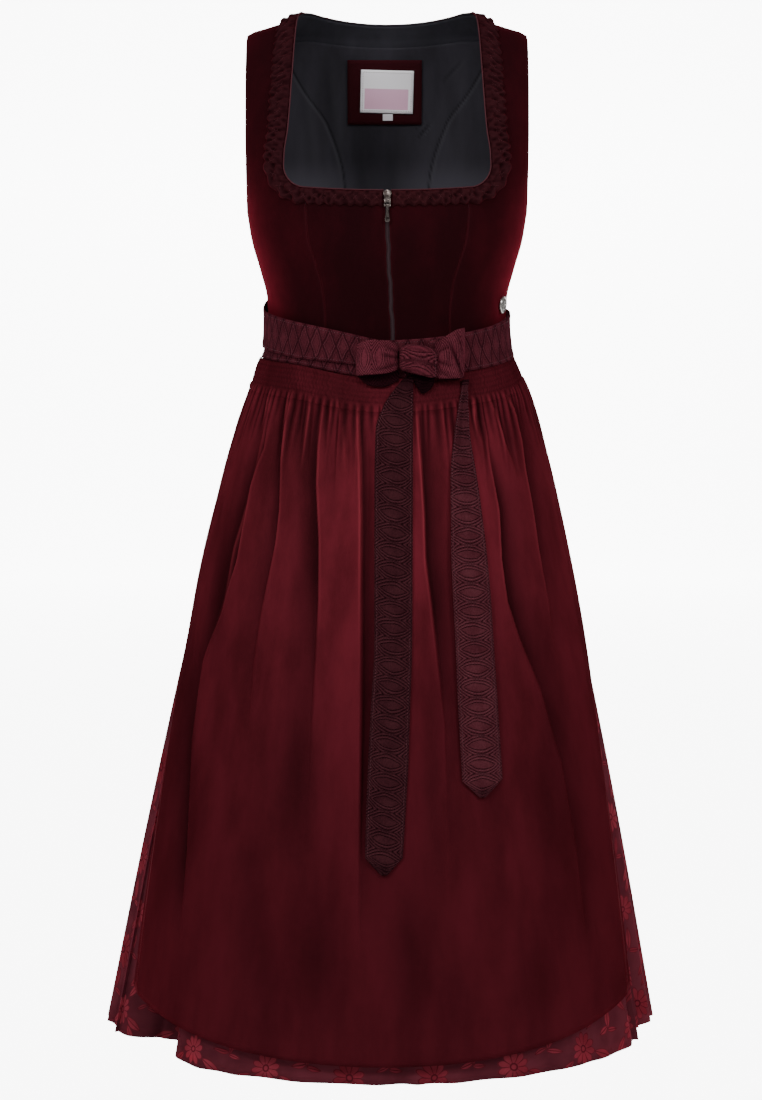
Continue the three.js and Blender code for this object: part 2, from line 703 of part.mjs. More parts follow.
// Columns of a gathered edge: the angle from the middle of its half, the gather's full depth and
// whether it is a trough. Spacing and depth vary slowly, so that no two gathers are quite alike.
function gatherColumns(stretches) {
  const columns = stretches.flatMap(({ from, to, gathers, depth }) => {
    const count = gathers * GATHER_COLUMNS;
    return range(count).map((i) => {
      const share = i / count;
      const sway = 0.3 * Math.sin(share * 17) * Math.sin(share * Math.PI);
      const unevenness = 0.75 + 0.35 * Math.sin(i * 1.9) * Math.sin(i * 0.31);
      return {
        angle: mix(from, to, share) + sway * ((to - from) / gathers),
        depth: depth * unevenness,
        trough: i % GATHER_COLUMNS !== 0,
      };
    });
  });
  const { to, depth } = stretches[stretches.length - 1];
  return [...columns, { angle: to, depth, trough: false }];
}

function skirtGrid(columns, inFront, out) {
  return SKIRT_ROWS.map((down) => columns.map(({ angle: turn, depth, trough }) => {
    const seamZ = mix(WAIST_SIDE_Z, HEM_Z, down);
    const angle = (inFront ? 0 : 180) + (turn / 90) * seamReach(seamZ, inFront, SEAM_GAP / 2);
    const z = mix(waistZ(angle) - SKIRT_DROP, HEM_Z, down);
    const gather = trough ? depth * curveAt(GATHER_GROWTH, 'share', down, 'down') : 0;
    return offLevel(angle, z, out - gather - foldDepth(angle, down));
  }));
}

function addSkirt(name, stretches, inFront) {
  const columns = gatherColumns(stretches);
  add(name, 'jacquard', wall(skirtGrid(columns, inFront, 0), skirtGrid(columns, inFront, -SKIRT_CLOTH)));
}
addSkirt('skirt_front', FRONT_GATHERS, true);
addSkirt('skirt_back', BACK_GATHERS, false);

// ---------------------------------------------------------------- apron

// The apron lies over the front of the skirt. Below its waistband it is shirred, then its small
// gathers run together into larger folds. All of them stand outwards.
const BAND_FOOT = [
  { angle: -92, z: -353 },
  { angle: -45, z: -357 },
  { angle: 0, z: -370 },
  { angle: 40, z: -362 },
  { angle: 92, z: -346 },
];
const APRON = { gathers: 30, topEdge: 88, hemCentreZ: -1055, cornerRise: 35, shirring: 27 };
const APRON_ROWS = [0, 0.036, 0.065, 0.13, 0.28, 0.52, 0.8, 1];
// Side edge of the apron, and how far it stands off the skirt, by the share of its length.
const APRON_SHAPE = [
  { down: 0, edge: 88, off: 1.1, gather: 0.5, fold: 0 },
  { down: 0.04, edge: 87.5, off: 1.2, gather: 0.9, fold: 0 },
  { down: 0.065, edge: 87, off: 1.3, gather: 3, fold: 0.5 },
  { down: 0.12, edge: 86, off: 1.5, gather: 2.6, fold: 3 },
  { down: 0.23, edge: 84, off: 1.6, gather: 1.2, fold: 5.5 },
  { down: 0.42, edge: 79, off: 2.2, gather: 0.4, fold: 7.5 },
  { down: 0.68, edge: 71.5, off: 2.6, gather: 0, fold: 7.5 },
  { down: 1, edge: 67.5, off: 2.8, gather: 0, fold: 5 },
];
// Larger folds of the apron, from the wearer's right to left: place across it from -1 to 1,
// width, and height as a share of the full height.
const APRON_FOLDS = [
  { at: -0.93, width: 0.04, height: 0.7 },
  { at: -0.79, width: 0.055, height: 0.9 },
  { at: -0.62, width: 0.05, height: 1 },
  { at: -0.47, width: 0.045, height: 0.9 },
  { at: -0.33, width: 0.04, height: 0.8 },
  { at: -0.2, width: 0.045, height: 1 },
  { at: -0.06, width: 0.04, height: 0.6 },
  { at: 0.09, width: 0.03, height: 1 },
  { at: 0.22, width: 0.04, height: 0.8 },
  { at: 0.35, width: 0.04, height: 0.6 },
  { at: 0.49, width: 0.045, height: 0.9 },
  { at: 0.63, width: 0.04, height: 0.7 },
  { at: 0.78, width: 0.05, height: 1 },
  { at: 0.93, width: 0.04, height: 0.7 },
];

const apronShape = (key, down) => curveAt(APRON_SHAPE, key, down, 'down');
const bandFootZ = (angle) => curveAt(BAND_FOOT, 'z', angle, 'angle');

function apronFold(across) {
  return APRON_FOLDS.reduce((sum, { at, width, height }) => {
    const away = (across - at) / width;
    return sum + height * Math.exp(-away * away);
  }, 0);
}

function apronAngleAndZ(across, down) {
  const angle = across * apronShape('edge', down);
  const hem = APRON.hemCentreZ + APRON.cornerRise * Math.abs(across) ** 3;
  return { angle, z: mix(bandFootZ(angle) - SEAM_GAP, hem, down) };
}

// Height of the apron's outer face over the form.
function apronOut(across, down, crest) {
  const folds = Math.min(1, apronFold(across)) * apronShape('fold', down);
  return apronShape('off', down) + APRON_CLOTH + crest * apronShape('gather', down) + folds;
}

function apronGrid(inset) {
  const count = APRON.gathers * GATHER_COLUMNS;
  return APRON_ROWS.map((down) => range(count + 1).map((column) => {
    const across = (2 * column) / count - 1;
    const { angle, z } = apronAngleAndZ(across, down);
    const crest = column % GATHER_COLUMNS === 1 ? 0.7 + 0.3 * Math.sin(column * 2.7) : 0;
    return offLevel(angle, z, apronOut(across, down, crest) - inset);
  }));
}
add('apron', 'satin', wall(apronGrid(0), apronGrid(APRON_CLOTH)));

// ---------------------------------------------------------------- waistband and ties

const RIBBON_WIDTH = 39;
const BAND_STEP = 6;

// A ribbon round the waist from one angle to another. Its lower edge, its height and its distance
// out from the form come from a table by angle; a tie may pass all the way round.
function ribbonGrid(path, inset) {
  const from = path[0].angle;
  const to = path[path.length - 1].angle;
  const steps = Math.ceil(Math.abs(to - from) / BAND_STEP);
  return [0, 0.5, 1].map((up) => range(steps + 1).map((step) => {
    const angle = mix(from, to, step / steps);
    const low = curveAt(path, 'low', angle, 'angle');
    const height = curveAt(path, 'height', angle, 'angle');
    const out = curveAt(path, 'out', angle, 'angle') + RIBBON;
    return offLevel(angle, low + up * height, out - inset);
  }));
}

const WAISTBAND_OUT = 1;
const waistband = BAND_FOOT.map(({ angle, z }) => {
  return { angle, low: z, height: RIBBON_WIDTH, out: WAISTBAND_OUT };
});

// Each tie leaves the waistband's end, goes round the back, crosses the other there and comes to
// the bow over the waistband's other end. They change places where one lies wholly above the other.
const TIE_RIGHT = [
  { angle: -92.15, low: -353, height: 39, out: 0.8 },
  { angle: -110, low: -359, height: 39, out: 0.9 },
  { angle: -127.5, low: -371, height: 39, out: 0.9 },
  { angle: -135, low: -372, height: 39, out: 1.2 },
  { angle: -142.5, low: -370, height: 39, out: 1.9 },
  { angle: -150, low: -364, height: 39, out: 2.8 },
  { angle: -180, low: -345, height: 39, out: 2.8 },
  { angle: -225, low: -338, height: 39, out: 3.2 },
  { angle: -270, low: -350, height: 43, out: 3.6 },
  { angle: -310, low: -360, height: 40, out: 4.1 },
  { angle: -333, low: -365, height: 38, out: 4.4 },
  { angle: -343, low: -364, height: 32, out: 4.6 },
];
const TIE_LEFT = [
  { angle: 92.15, low: -346, height: 39, out: 0.8 },
  { angle: 135, low: -349, height: 39, out: 0.8 },
  { angle: 180, low: -344, height: 39, out: 0.8 },
  { angle: 210, low: -330, height: 39, out: 0.8 },
  { angle: 217.5, low: -325, height: 39, out: 0.9 },
  { angle: 225, low: -322, height: 39, out: 1.4 },
  { angle: 232.5, low: -322, height: 39, out: 2.3 },
  { angle: 240, low: -325, height: 39, out: 3.2 },
  { angle: 270, low: -340, height: 39, out: 3.8 },
  { angle: 315, low: -350, height: 37, out: 3.8 },
  { angle: 342, low: -355, height: 32, out: 3.9 },
  { angle: 362, low: -360, height: 27, out: 4 },
];

function addRibbon(name, path) {
  add(name, 'ribbon', wall(ribbonGrid(path, 0), ribbonGrid(path, RIBBON)));
}
addRibbon('apron_waistband', waistband);
addRibbon('apron_tie_right', TIE_RIGHT);
addRibbon('apron_tie_left', TIE_LEFT);

// ---------------------------------------------------------------- bow

// A place in front of the waist: distance from the centre line, height, distance out.
const atWaist = (x, z, out) => offLevel(frontAngle(x, z), z, out);

// A loop of ribbon, seen from above as a path from the knot out and back again. Each row gives
// the ribbon's place, and its lower and upper edge there.
const BOW_LOOP_RIGHT = [
  { x: 11.5, out: 9, low: -358, top: -342 },
  { x: 6, out: 13, low: -361, top: -335 },
  { x: -5, out: 17, low: -364, top: -327 },
  { x: -18, out: 18, low: -365, top: -325 },
  { x: -27, out: 16, low: -365.5, top: -327.5 },
  { x: -31.5, out: 12, low: -366, top: -330 },
  { x: -29, out: 8, low: -365.5, top: -331 },
  { x: -18, out: 6.4, low: -363.5, top: -332 },
  { x: -4, out: 6, low: -361, top: -335 },
  { x: 11.5, out: 6, low: -357, top: -341 },
];
const BOW_LOOP_LEFT = [
  { x: 48.5, out: 11, low: -366, top: -343 },
  { x: 54, out: 14.5, low: -367.5, top: -336 },
  { x: 63, out: 16, low: -369, top: -327 },
  { x: 72, out: 14, low: -370, top: -323 },
  { x: 77.5, out: 10.5, low: -370.5, top: -326 },
  { x: 75, out: 7.6, low: -369, top: -331 },
  { x: 66, out: 6.8, low: -367, top: -336 },
  { x: 57, out: 6.6, low: -364, top: -340 },
  { x: 48.5, out: 6.6, low: -360, top: -344 },
];

// Offsets a path in plan to its left by a distance, by the mean direction at each point.
function insetPath(path, distance) {
  return path.map((row, i) => {
    const before = path[Math.max(0, i - 1)];
    const after = path[Math.min(path.length - 1, i + 1)];
    const along = new THREE.Vector2(after.x - before.x, after.out - before.out).normalize();
    return { ...row, x: row.x - along.y * distance, out: row.out + along.x * distance };
  });
}

function loopGrid(path) {
  const rows = 3;
  return range(rows + 1).map((row) => path.map(({ x, out, low, top }) => {
    const up = row / rows;
    const bulge = 1.2 * Math.sin(Math.PI * up);
    return atWaist(x, mix(low, top, up), out + bulge);
  }));
}
// The right loop turns the other way round in plan, so its inside lies on the other side.
add('bow_loop_right', 'ribbon', wall(loopGrid(BOW_LOOP_RIGHT), loopGrid(insetPath(BOW_LOOP_RIGHT, RIBBON))));
add('bow_loop_left', 'ribbon', wall(loopGrid(BOW_LOOP_LEFT), loopGrid(insetPath(BOW_LOOP_LEFT, -RIBBON))));

// The knot is a wad of ribbon: level sections across it, rounded, from one side to the other.
const KNOT = [
  { x: 12, low: -358.5, top: -342, near: 6.5, far: 15 },
  { x: 15, low: -361.5, top: -340, near: 6.2, far: 19.5 },
  { x: 23, low: -363.5, top: -338.5, near: 6, far: 22 },
  { x: 33, low: -365.5, top: -338.5, near: 6, far: 22.5 },
  { x: 43, low: -367.5, top: -341, near: 6.2, far: 21 },
  { x: 47.8, low: -366, top: -344, near: 6.6, far: 16.5 },
];
const KNOT_SIDES = 14;
add('bow_knot', 'ribbon', sweep(KNOT.map(({ x, low, top, near, far }) => range(KNOT_SIDES).map((side) => {
  const turn = (2 * Math.PI * side) / KNOT_SIDES;
  const up = signedPower(Math.sin(turn), 0.7);
  const forward = signedPower(Math.cos(turn), 0.7);
  return atWaist(x, mix(low, top, 0.5 + up / 2), mix(near, far, 0.5 + forward / 2));
}))));

// ---------------------------------------------------------------- bow tails

// A tail hangs from the bow over the apron and ends in a point. x0 and x1 are its edges.
const TAIL_RIGHT = [
  { z: -369, x0: 17, x1: 26, off: 5.5 },
  { z: -376, x0: 11, x1: 26, off: 3.5 },
  { z: -398, x0: -4, x1: 26, off: 1.2 },
  { z: -421, x0: -11.5, x1: 25.5, off: 0.7 },
  { z: -470, x0: -12.5, x1: 25, off: 0.7 },
  { z: -550, x0: -12.5, x1: 24.5, off: 0.7 },
  { z: -631, x0: -12.5, x1: 24, off: 0.7 },
  { z: -700, x0: -16, x1: 22, off: 0.7 },
  { z: -753, x0: -18.6, x1: 20.4, off: 0.7 },
  { z: -800, x0: -20.5, x1: 17.8, off: 0.7 },
  { z: -847, x0: -21.6, x1: 15, off: 0.7 },
];
const TAIL_LEFT = [
  { z: -372, x0: 71, x1: 81, off: 3.5 },
  { z: -384, x0: 69, x1: 80, off: 2.2 },
  { z: -421, x0: 66, x1: 81, off: 0.7 },
  { z: -473, x0: 62, x1: 88, off: 0.7 },
  { z: -539, x0: 62, x1: 96, off: 0.7 },
  { z: -585, x0: 63.5, x1: 100, off: 0.7 },
  { z: -632, x0: 66, x1: 103, off: 0.7 },
  { z: -700, x0: 69, x1: 107.5, off: 0.7 },
  { z: -773, x0: 73, x1: 112, off: 0.7 },
];
const TAIL_POINT = { length: 17, half: 3 };
const TAIL_COLUMNS = 2;

// Distance of a tail's back from the form: it rides on the crests of the apron's folds.
function overApron(x, z) {
  const angle = frontAngle(x, z);
  const top = bandFootZ(angle);
  const down = (top - z) / (top - APRON.hemCentreZ);
  return apronShape('off', down) + APRON_CLOTH + apronShape('gather', down) + apronShape('fold', down);
}

function tailGrid(rows, inset) {
  const last = rows[rows.length - 1];
  const middle = (last.x0 + last.x1) / 2;
  const end = {
    ...last,
    z: last.z - TAIL_POINT.length,
    x0: middle - TAIL_POINT.half,
    x1: middle + TAIL_POINT.half,
  };
  return [...rows, end].map(({ z, x0, x1, off }) => range(TAIL_COLUMNS + 1).map((column) => {
    const x = mix(x0, x1, column / TAIL_COLUMNS);
    return atWaist(x, z, overApron(x, z) + off + RIBBON - inset);
  }));
}
add('bow_tail_right', 'ribbon', wall(tailGrid(TAIL_RIGHT, 0), tailGrid(TAIL_RIGHT, RIBBON)));
add('bow_tail_left', 'ribbon', wall(tailGrid(TAIL_LEFT, 0), tailGrid(TAIL_LEFT, RIBBON)));

export default dirndl;
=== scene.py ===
# %% [markdown]
# # A dirndl, dressed
# A dirndl is a velvet bodice, a full skirt and an apron tied in a bow. The solid model of it is the
# fixed frame here. Each cell below makes one piece of the real dress: first a few words on what the
# piece is and how it could be made, then the code that makes it.

# %% Load the frame
import json
import bpy
import numpy as np
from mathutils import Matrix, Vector

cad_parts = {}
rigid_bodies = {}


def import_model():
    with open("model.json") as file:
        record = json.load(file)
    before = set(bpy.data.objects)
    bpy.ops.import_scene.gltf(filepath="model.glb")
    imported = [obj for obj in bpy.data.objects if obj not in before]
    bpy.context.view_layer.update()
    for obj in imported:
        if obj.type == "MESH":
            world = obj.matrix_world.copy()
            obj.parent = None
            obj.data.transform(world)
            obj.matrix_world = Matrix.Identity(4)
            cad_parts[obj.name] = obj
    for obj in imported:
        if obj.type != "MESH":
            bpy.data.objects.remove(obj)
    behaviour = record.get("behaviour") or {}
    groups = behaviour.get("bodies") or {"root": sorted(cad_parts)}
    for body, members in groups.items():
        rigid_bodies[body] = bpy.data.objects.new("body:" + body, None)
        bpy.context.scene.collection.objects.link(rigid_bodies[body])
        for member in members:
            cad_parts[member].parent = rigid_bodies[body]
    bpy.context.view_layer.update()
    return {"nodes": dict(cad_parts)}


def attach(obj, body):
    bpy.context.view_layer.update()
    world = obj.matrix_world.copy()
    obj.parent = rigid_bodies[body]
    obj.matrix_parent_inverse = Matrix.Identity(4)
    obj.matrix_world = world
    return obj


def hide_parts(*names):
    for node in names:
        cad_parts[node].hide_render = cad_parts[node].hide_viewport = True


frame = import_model()

# %% [markdown]
# ## The form
# A tailor drapes cloth on a form. Ours is a stack of level sections, each a rounded oval with its own
# half widths and depths, so any point is named by an angle round the form (0 in front, 90 at the
# wearer's left) and a height. Everything is worked out in millimetres and turned into metres last.
# Between the rows of a table we use a monotone cubic, which never swings past the numbers it joins.
# A ramp, a bell and a seeded ripple are the other small curves that the cloth is made from.

# %% Tables and curves
MM = 0.001


def table(names, rows):
    return dict(zip(names.split(), np.array(rows, float).T))


def curve(rows, key, at, axis="z"):
    """A smooth value from a table's column, read along another of its columns."""
    x, y = rows[axis], rows[key]
    if x[0] > x[-1]:
        x, y = x[::-1], y[::-1]
    width = np.diff(x)
    rate = np.diff(y) / width
    slope = np.concatenate([rate[:1], np.zeros(len(y) - 2), rate[-1:]])
    for i in range(1, len(y) - 1):
        if rate[i - 1] * rate[i] > 0:
            before, after = 2 * width[i] + width[i - 1], width[i] + 2 * width[i - 1]
            slope[i] = (before + after) / (before / rate[i - 1] + after / rate[i])
    at = np.clip(np.asarray(at, float), x[0], x[-1])
    i = np.clip(np.searchsorted(x, at, side="right") - 1, 0, len(width) - 1)
    t, w = (at - x[i]) / width[i], width[i]
    return ((1 + 2 * t) * (1 - t) ** 2 * y[i] + t * (1 - t) ** 2 * w * slope[i]
            + t * t * (3 - 2 * t) * y[i + 1] + t * t * (t - 1) * w * slope[i + 1])


def curves(rows, keys, at, axis="z"):
    return [curve(rows, key, at, axis) for key in keys.split()]


def ramp(x, start, end):
    """0 before start and 1 after end, with a soft step between."""
    t = np.clip((np.asarray(x, float) - start) / (end - start), 0, 1)
    return t * t * (3 - 2 * t)


def bell(x, width):
    """1 in the middle, falling off smoothly over a width."""
    return np.exp(-(x / width) ** 2)


def mix(a, b, t):
    return a + (b - a) * t


def signed_power(value, power):
    return np.sign(value) * np.abs(value) ** power


def ripple(a, b, seed, waves=5):
    """A smooth uneven field over two coordinates, from about -1 to 1, always the same for a seed."""
    pick = np.random.default_rng(seed)
    total = 0 * (a + b)
    for _ in range(waves):
        turn, pitch, start = pick.uniform(0, 2 * np.pi), pick.uniform(0.6, 1.7), pick.uniform(0, 2 * np.pi)
        total = total + np.sin((a * np.cos(turn) + b * np.sin(turn)) * pitch + start)
    return total / waves * 1.4


# %% Sections of the form
FORM = table("z right left front back squareness", [
    (8, 91, 91, 20, 46, 2.2), (1, 102.5, 102.5, 27, 56, 2.2), (-6, 115, 115, 33, 62, 2.2),
    (-11, 133, 133, 35.5, 65, 2.2), (-15, 144.5, 144.5, 37.5, 67.5, 2.2),
    (-19, 148.6, 148.6, 39.5, 69.5, 2.2), (-28, 154, 154, 46, 73, 2.2), (-42, 161, 161, 56, 77.5, 2.2),
    (-70, 167.5, 167.5, 74, 84, 2.2), (-115, 166, 166, 97, 92, 2.2), (-150, 159, 159, 110, 96, 2.2),
    (-178, 153, 153, 117, 98, 2.2), (-200, 148.4, 148.4, 120.5, 99, 2.2),
    (-230, 143.5, 143.5, 121, 98, 2.2), (-262, 134.5, 134.5, 115.5, 94.5, 2.2),
    (-292, 127.3, 127.3, 106.5, 91, 2.2), (-320, 126, 126, 98.5, 88.5, 2.2),
    (-345, 128.6, 128.6, 96.3, 89.7, 2.18), (-362, 135.6, 135.6, 97.5, 95, 2.14),
    (-384, 142, 145, 105, 102, 2.1), (-421, 154, 156.5, 119, 113, 2.06), (-573, 195, 193, 158, 148, 2),
    (-836, 256, 248.5, 207, 191, 2), (-1078, 307, 293, 250, 228, 2)])
SEAM_GAP = 0.3
HALF_GAP = SEAM_GAP / 2
VELVET_THICK = 1.6
WAIST_SIDE_Z = -345
HEM_Z = -1076


def half_size(sign, positive, negative, z):
    """Half width or depth of the form at a height, on the side that the sign names."""
    return np.where(sign >= 0, curve(FORM, positive, z), curve(FORM, negative, z))


def form(angle, z):
    angle, z = np.broadcast_arrays(np.asarray(angle, float), np.asarray(z, float))
    s, c = np.sin(np.radians(angle)), np.cos(np.radians(angle))
    half, depth = half_size(s, "left", "right", z), half_size(c, "front", "back", z)
    power = 2 / curve(FORM, "squareness", z)
    return np.stack([half * signed_power(s, power), -depth * signed_power(c, power), z], -1)


def unit(v):
    return v / np.maximum(np.linalg.norm(v, axis=-1, keepdims=True), 1e-9)


def form_normal(angle, z, level=False):
    around = form(np.asarray(angle) + 0.5, z) - form(np.asarray(angle) - 0.5, z)
    up = form(angle, np.asarray(z) + 0.5) - form(angle, np.asarray(z) - 0.5)
    normal = unit(np.cross(around, up))
    if level:
        normal[..., 2] = 0
    return unit(normal)


def off_form(angle, z, out):
    """Points a distance out from the form, square to its surface."""
    return form(angle, z) + form_normal(angle, z) * np.asarray(out)[..., None]


def off_level(angle, z, out):
    """Points a distance out from the form, measured level, so that their height stays."""
    return form(angle, z) + form_normal(angle, z, level=True) * np.asarray(out)[..., None]


def front_angle(x, z):
    x, z = np.broadcast_arrays(np.asarray(x, float), np.asarray(z, float))
    share = np.minimum(1, np.abs(x) / half_size(x, "left", "right", z))
    return np.sign(x) * np.degrees(np.arcsin(share ** (curve(FORM, "squareness", z) / 2)))


def back_angle(x, z):
    return 180 - front_angle(x, z)


def seam_reach(z, in_front, distance):
    """Angle from the middle of the front or back to a line a distance short of the side seam."""
    depth = curve(FORM, "front" if in_front else "back", z)
    share = np.minimum(1, distance / depth) ** (curve(FORM, "squareness", z) / 2)
    return 90 - np.degrees(np.arcsin(share))


def waist_z(angle):
    c = np.cos(np.radians(angle))
    return WAIST_SIDE_Z - np.where(c > 0, 17, 5) * c * c


print("form at the waist:", form(np.array([0, 90, 180]), -345.0).round(1).tolist())

# %% [markdown]
# ## Shader maths in Python
# Patterned cloth needs a lot of arithmetic on coordinates. Wiring Math nodes by hand is slow to read,
# so a small class wraps one socket and overloads the operators: `1 - mask` adds a Subtract node. All
# other nodes come from one method, `node`, which sets the node's own settings and then its sockets.

# %% A value in a shader, and the sheet of nodes it lives on
class Value:
    def __init__(self, nodes, socket):
        self.nodes, self.socket = nodes, socket

    def maths(self, operation, *others):
        sockets = {i: o for i, o in enumerate((self, *others))}
        return self.nodes.node("ShaderNodeMath", sockets, operation=operation)

    def __add__(self, other): return self.maths("ADD", other)
    def __sub__(self, other): return self.maths("SUBTRACT", other)
    def __mul__(self, other): return self.maths("MULTIPLY", other)
    def __truediv__(self, other): return self.maths("DIVIDE", other)
    def __abs__(self): return self.maths("ABSOLUTE")
    def __radd__(self, other): return self + other
    def __rmul__(self, other): return self * other
    def __rsub__(self, other): return self * -1 + other
    def sin(self): return self.maths("SINE")
    def cos(self): return self.maths("COSINE")
    def fract(self): return self.maths("FRACT")
    def root(self): return self.maths("SQRT")
    def least(self, other): return self.maths("MINIMUM", other)
    def most(self, other): return self.maths("MAXIMUM", other)

    def rise(self, start, end):
        """0 before start and 1 after end, with a soft step between."""
        return self.nodes.node("ShaderNodeMapRange", {0: self, 1: start, 2: end},
                               interpolation_type="SMOOTHSTEP")


def hexed(code):
    """A colour written as on the screen, turned into the linear numbers that shaders use."""
    parts = [int(code[i:i + 2], 16) / 255 for i in (1, 3, 5)]
    return [p / 12.92 if p < 0.04045 else ((p + 0.055) / 1.055) ** 2.4 for p in parts] + [1]


class Finish:
    """One material and its nodes."""

    def __init__(self, name, **fixed):
        self.material = bpy.data.materials.new(name)
        self.material.use_nodes = True
        self.tree = self.material.node_tree
        self.tree.nodes.clear()
        self.surface = self.tree.nodes.new("ShaderNodeBsdfPrincipled")
        out = self.tree.nodes.new("ShaderNodeOutputMaterial")
        self.tree.links.new(self.surface.outputs[0], out.inputs[0])
        for name, value in fixed.items():
            self.surface.inputs[name.replace("_", " ").title().replace("Ior", "IOR")].default_value = value

    def node(self, kind, sockets=None, out=0, **settings):
        made = self.tree.nodes.new(kind)
        for name, value in settings.items():
            setattr(made, name, value)
        for key, value in (sockets or {}).items():
            if isinstance(value, Value):
                self.tree.links.new(value.socket, made.inputs[key])
            else:
                made.inputs[key].default_value = value
        return Value(self, made.outputs[out])

    def objects(self):
        return self.node("ShaderNodeTexCoord", out="Object")

    def parts(self, vector):
        split = self.tree.nodes.new("ShaderNodeSeparateXYZ")
        self.tree.links.new(vector.socket, split.inputs[0])
        return [Value(self, socket) for socket in split.outputs]

    def cloth(self):
        """Place on the cloth, across and along, in millimetres."""
        u, v, _ = self.parts(self.node("ShaderNodeUVMap", uv_map="cloth"))
        return u * 1000, v * 1000

    def held(self, name):
        """A number kept on the points of the mesh."""
        return self.node("ShaderNodeAttribute", out="Fac", attribute_name=name)

    def stretched(self, vector, scale):
        return self.node("ShaderNodeMapping", {"Vector": vector, "Scale": scale})

    def noise(self, vector, scale, detail=2.0, roughness=0.5):
        return self.node("ShaderNodeTexNoise", {"Vector": vector, "Scale": scale, "Detail": detail,
                                                "Roughness": roughness})

    def blend(self, share, one, two):
        colours = [hexed(colour) if isinstance(colour, str) else colour for colour in (one, two)]
        return self.node("ShaderNodeMix", {0: share, 6: colours[0], 7: colours[1]}, out=2,
                         data_type="RGBA")

    def feed(self, name, value):
        if isinstance(value, Value):
            self.tree.links.new(value.socket, self.surface.inputs[name])
        else:
            self.surface.inputs[name].default_value = value

    def dye(self, colour, dark, light=None, share=1.0):
        """Base colour, with painted shade where the mesh holds it and, where a light is given, a painted
        highlight on its fold edges.
        """
        colour = self.blend(self.held("hollow"), colour, dark)
        if light:
            colour = self.blend(self.held("crest") * share, colour, light)
        self.feed("Base Color", colour)

    def bump(self, height, distance, strength):
        """Height in 0 to 1, and how far the full height stands out, in metres."""
        self.feed("Normal", self.node("ShaderNodeBump", {"Height": height, "Distance": distance,
                                                         "Strength": strength}))


# %% [markdown]
# ## Velvet
# Velvet is dark where you look straight into its pile and lights up where the light grazes it.
# Numbers kept on the points of each mesh paint that in: a painted sheen lights the sides of the form
# in red, a painted highlight makes a fine paler line beside each seam, and painted shade darkens the
# place between two puffs. Two slow noises make the painted sheen patchy, two fine ones are the pile
# itself, and a weak sheen lobe lights its edge.

# %% Velvet finishes
RED_PILE = (0.4, 0.03, 0.055, 1)
# A painted highlight beside the seams, and painted shade between the puffs of the ruche.
SEAM_HIGHLIGHT, PUFF_SHADE = "#48191f", "#0c0305"


def velvet(name, deep, high, sheen):
    finish = Finish(name, sheen_weight=sheen, sheen_roughness=0.4, sheen_tint=RED_PILE,
                    specular_ior_level=0.0)
    spot = finish.objects()
    lie = finish.noise(finish.stretched(spot, (1, 1, 0.5)), 17, detail=4, roughness=0.6)
    pile = finish.noise(spot, 1500, detail=2)
    patchy = finish.noise(spot, 34, detail=3, roughness=0.6).rise(0.3, 0.7)
    # Painted sheen from the mesh, lighter towards the sides of the form, broken up by random tone.
    painted_sheen_and_tone = finish.held("nap") * (lie * 0.7 + patchy * 0.45 + 0.4) + lie.rise(0.4, 0.8) * 0.16
    colour = finish.blend(painted_sheen_and_tone.least(1.0), deep, high)
    # A painted highlight beside each seam.
    colour = finish.blend(finish.held("seam") * 0.45, colour, SEAM_HIGHLIGHT)
    finish.dye(colour, PUFF_SHADE)
    finish.feed("Roughness", lie * 0.12 + 0.78)
    finish.bump(pile * 0.7 + finish.noise(spot, 420, detail=2) * 0.3, 0.0004, 0.6)
    return finish.material


VELVET = velvet("velvet_wine", "#240b0f", "#5c1620", 0.33)
RUCHE = velvet("velvet_ruched", "#32161a", "#502326", 0.28)
PATCH = velvet("velvet_patch", "#321217", "#40191f", 0.3)
print("velvet finishes:", VELVET.name, RUCHE.name, PATCH.name)

# %% [markdown]
# ## Lining, tape, label and thread
# The lining is a black twill with hardly any shine. It is painted a little paler low down, where more
# light reaches it, with painted shade in its creases and a painted highlight on their crests. Zip tape,
# piping and size tab are plain weaves. The woven label is white with a plain pink block. Threads are
# short and matt.

# %% Small cloth finishes
# Painted shade in the lining's creases, and a painted highlight on their crests.
LINING_SHEEN, CREASE_SHADE, CREASE_HIGHLIGHT = "#8a8690", "#0b0a0d", "#48474c"
LIT_FROM, LIT_BELOW = -0.14, -0.18


def lining(name, dark, light, low):
    finish = Finish(name, sheen_weight=0.05, sheen_tint=hexed(LINING_SHEEN), specular_ior_level=0.03)
    spot = finish.objects()
    x, _, z = finish.parts(spot)
    twill = ((x + z) * 5200).sin() * 0.5 + 0.5
    crease = finish.noise(finish.stretched(spot, (1, 1, 0.2)), 26, detail=4, roughness=0.6)
    colour = finish.blend(crease.rise(0.3, 0.7), dark, light)
    # Painted light: paler low down, where more light reaches it.
    colour = finish.blend(z.rise(LIT_FROM, LIT_BELOW), colour, low)
    finish.dye(colour, CREASE_SHADE, CREASE_HIGHLIGHT)
    finish.feed("Roughness", crease * 0.2 + 0.55)
    finish.bump(twill * 0.08 + crease * 0.92, 0.0012, 0.5)
    return finish.material


def weave_of(u, v, rate):
    """0 to 1 over the threads of a plain weave."""
    return (u * rate).sin() * (v * rate).sin() * 0.5 + 0.5


def woven(name, one, two, pitch, roughness):
    """A plain weave with its pitch in millimetres."""
    finish = Finish(name, specular_ior_level=0.03)
    weave = weave_of(*finish.cloth(), 2 * np.pi / pitch)
    finish.feed("Base Color", finish.blend(weave, one, two))
    finish.feed("Roughness", weave * 0.1 + roughness)
    finish.bump(weave, 0.0002, 0.6)
    return finish.material


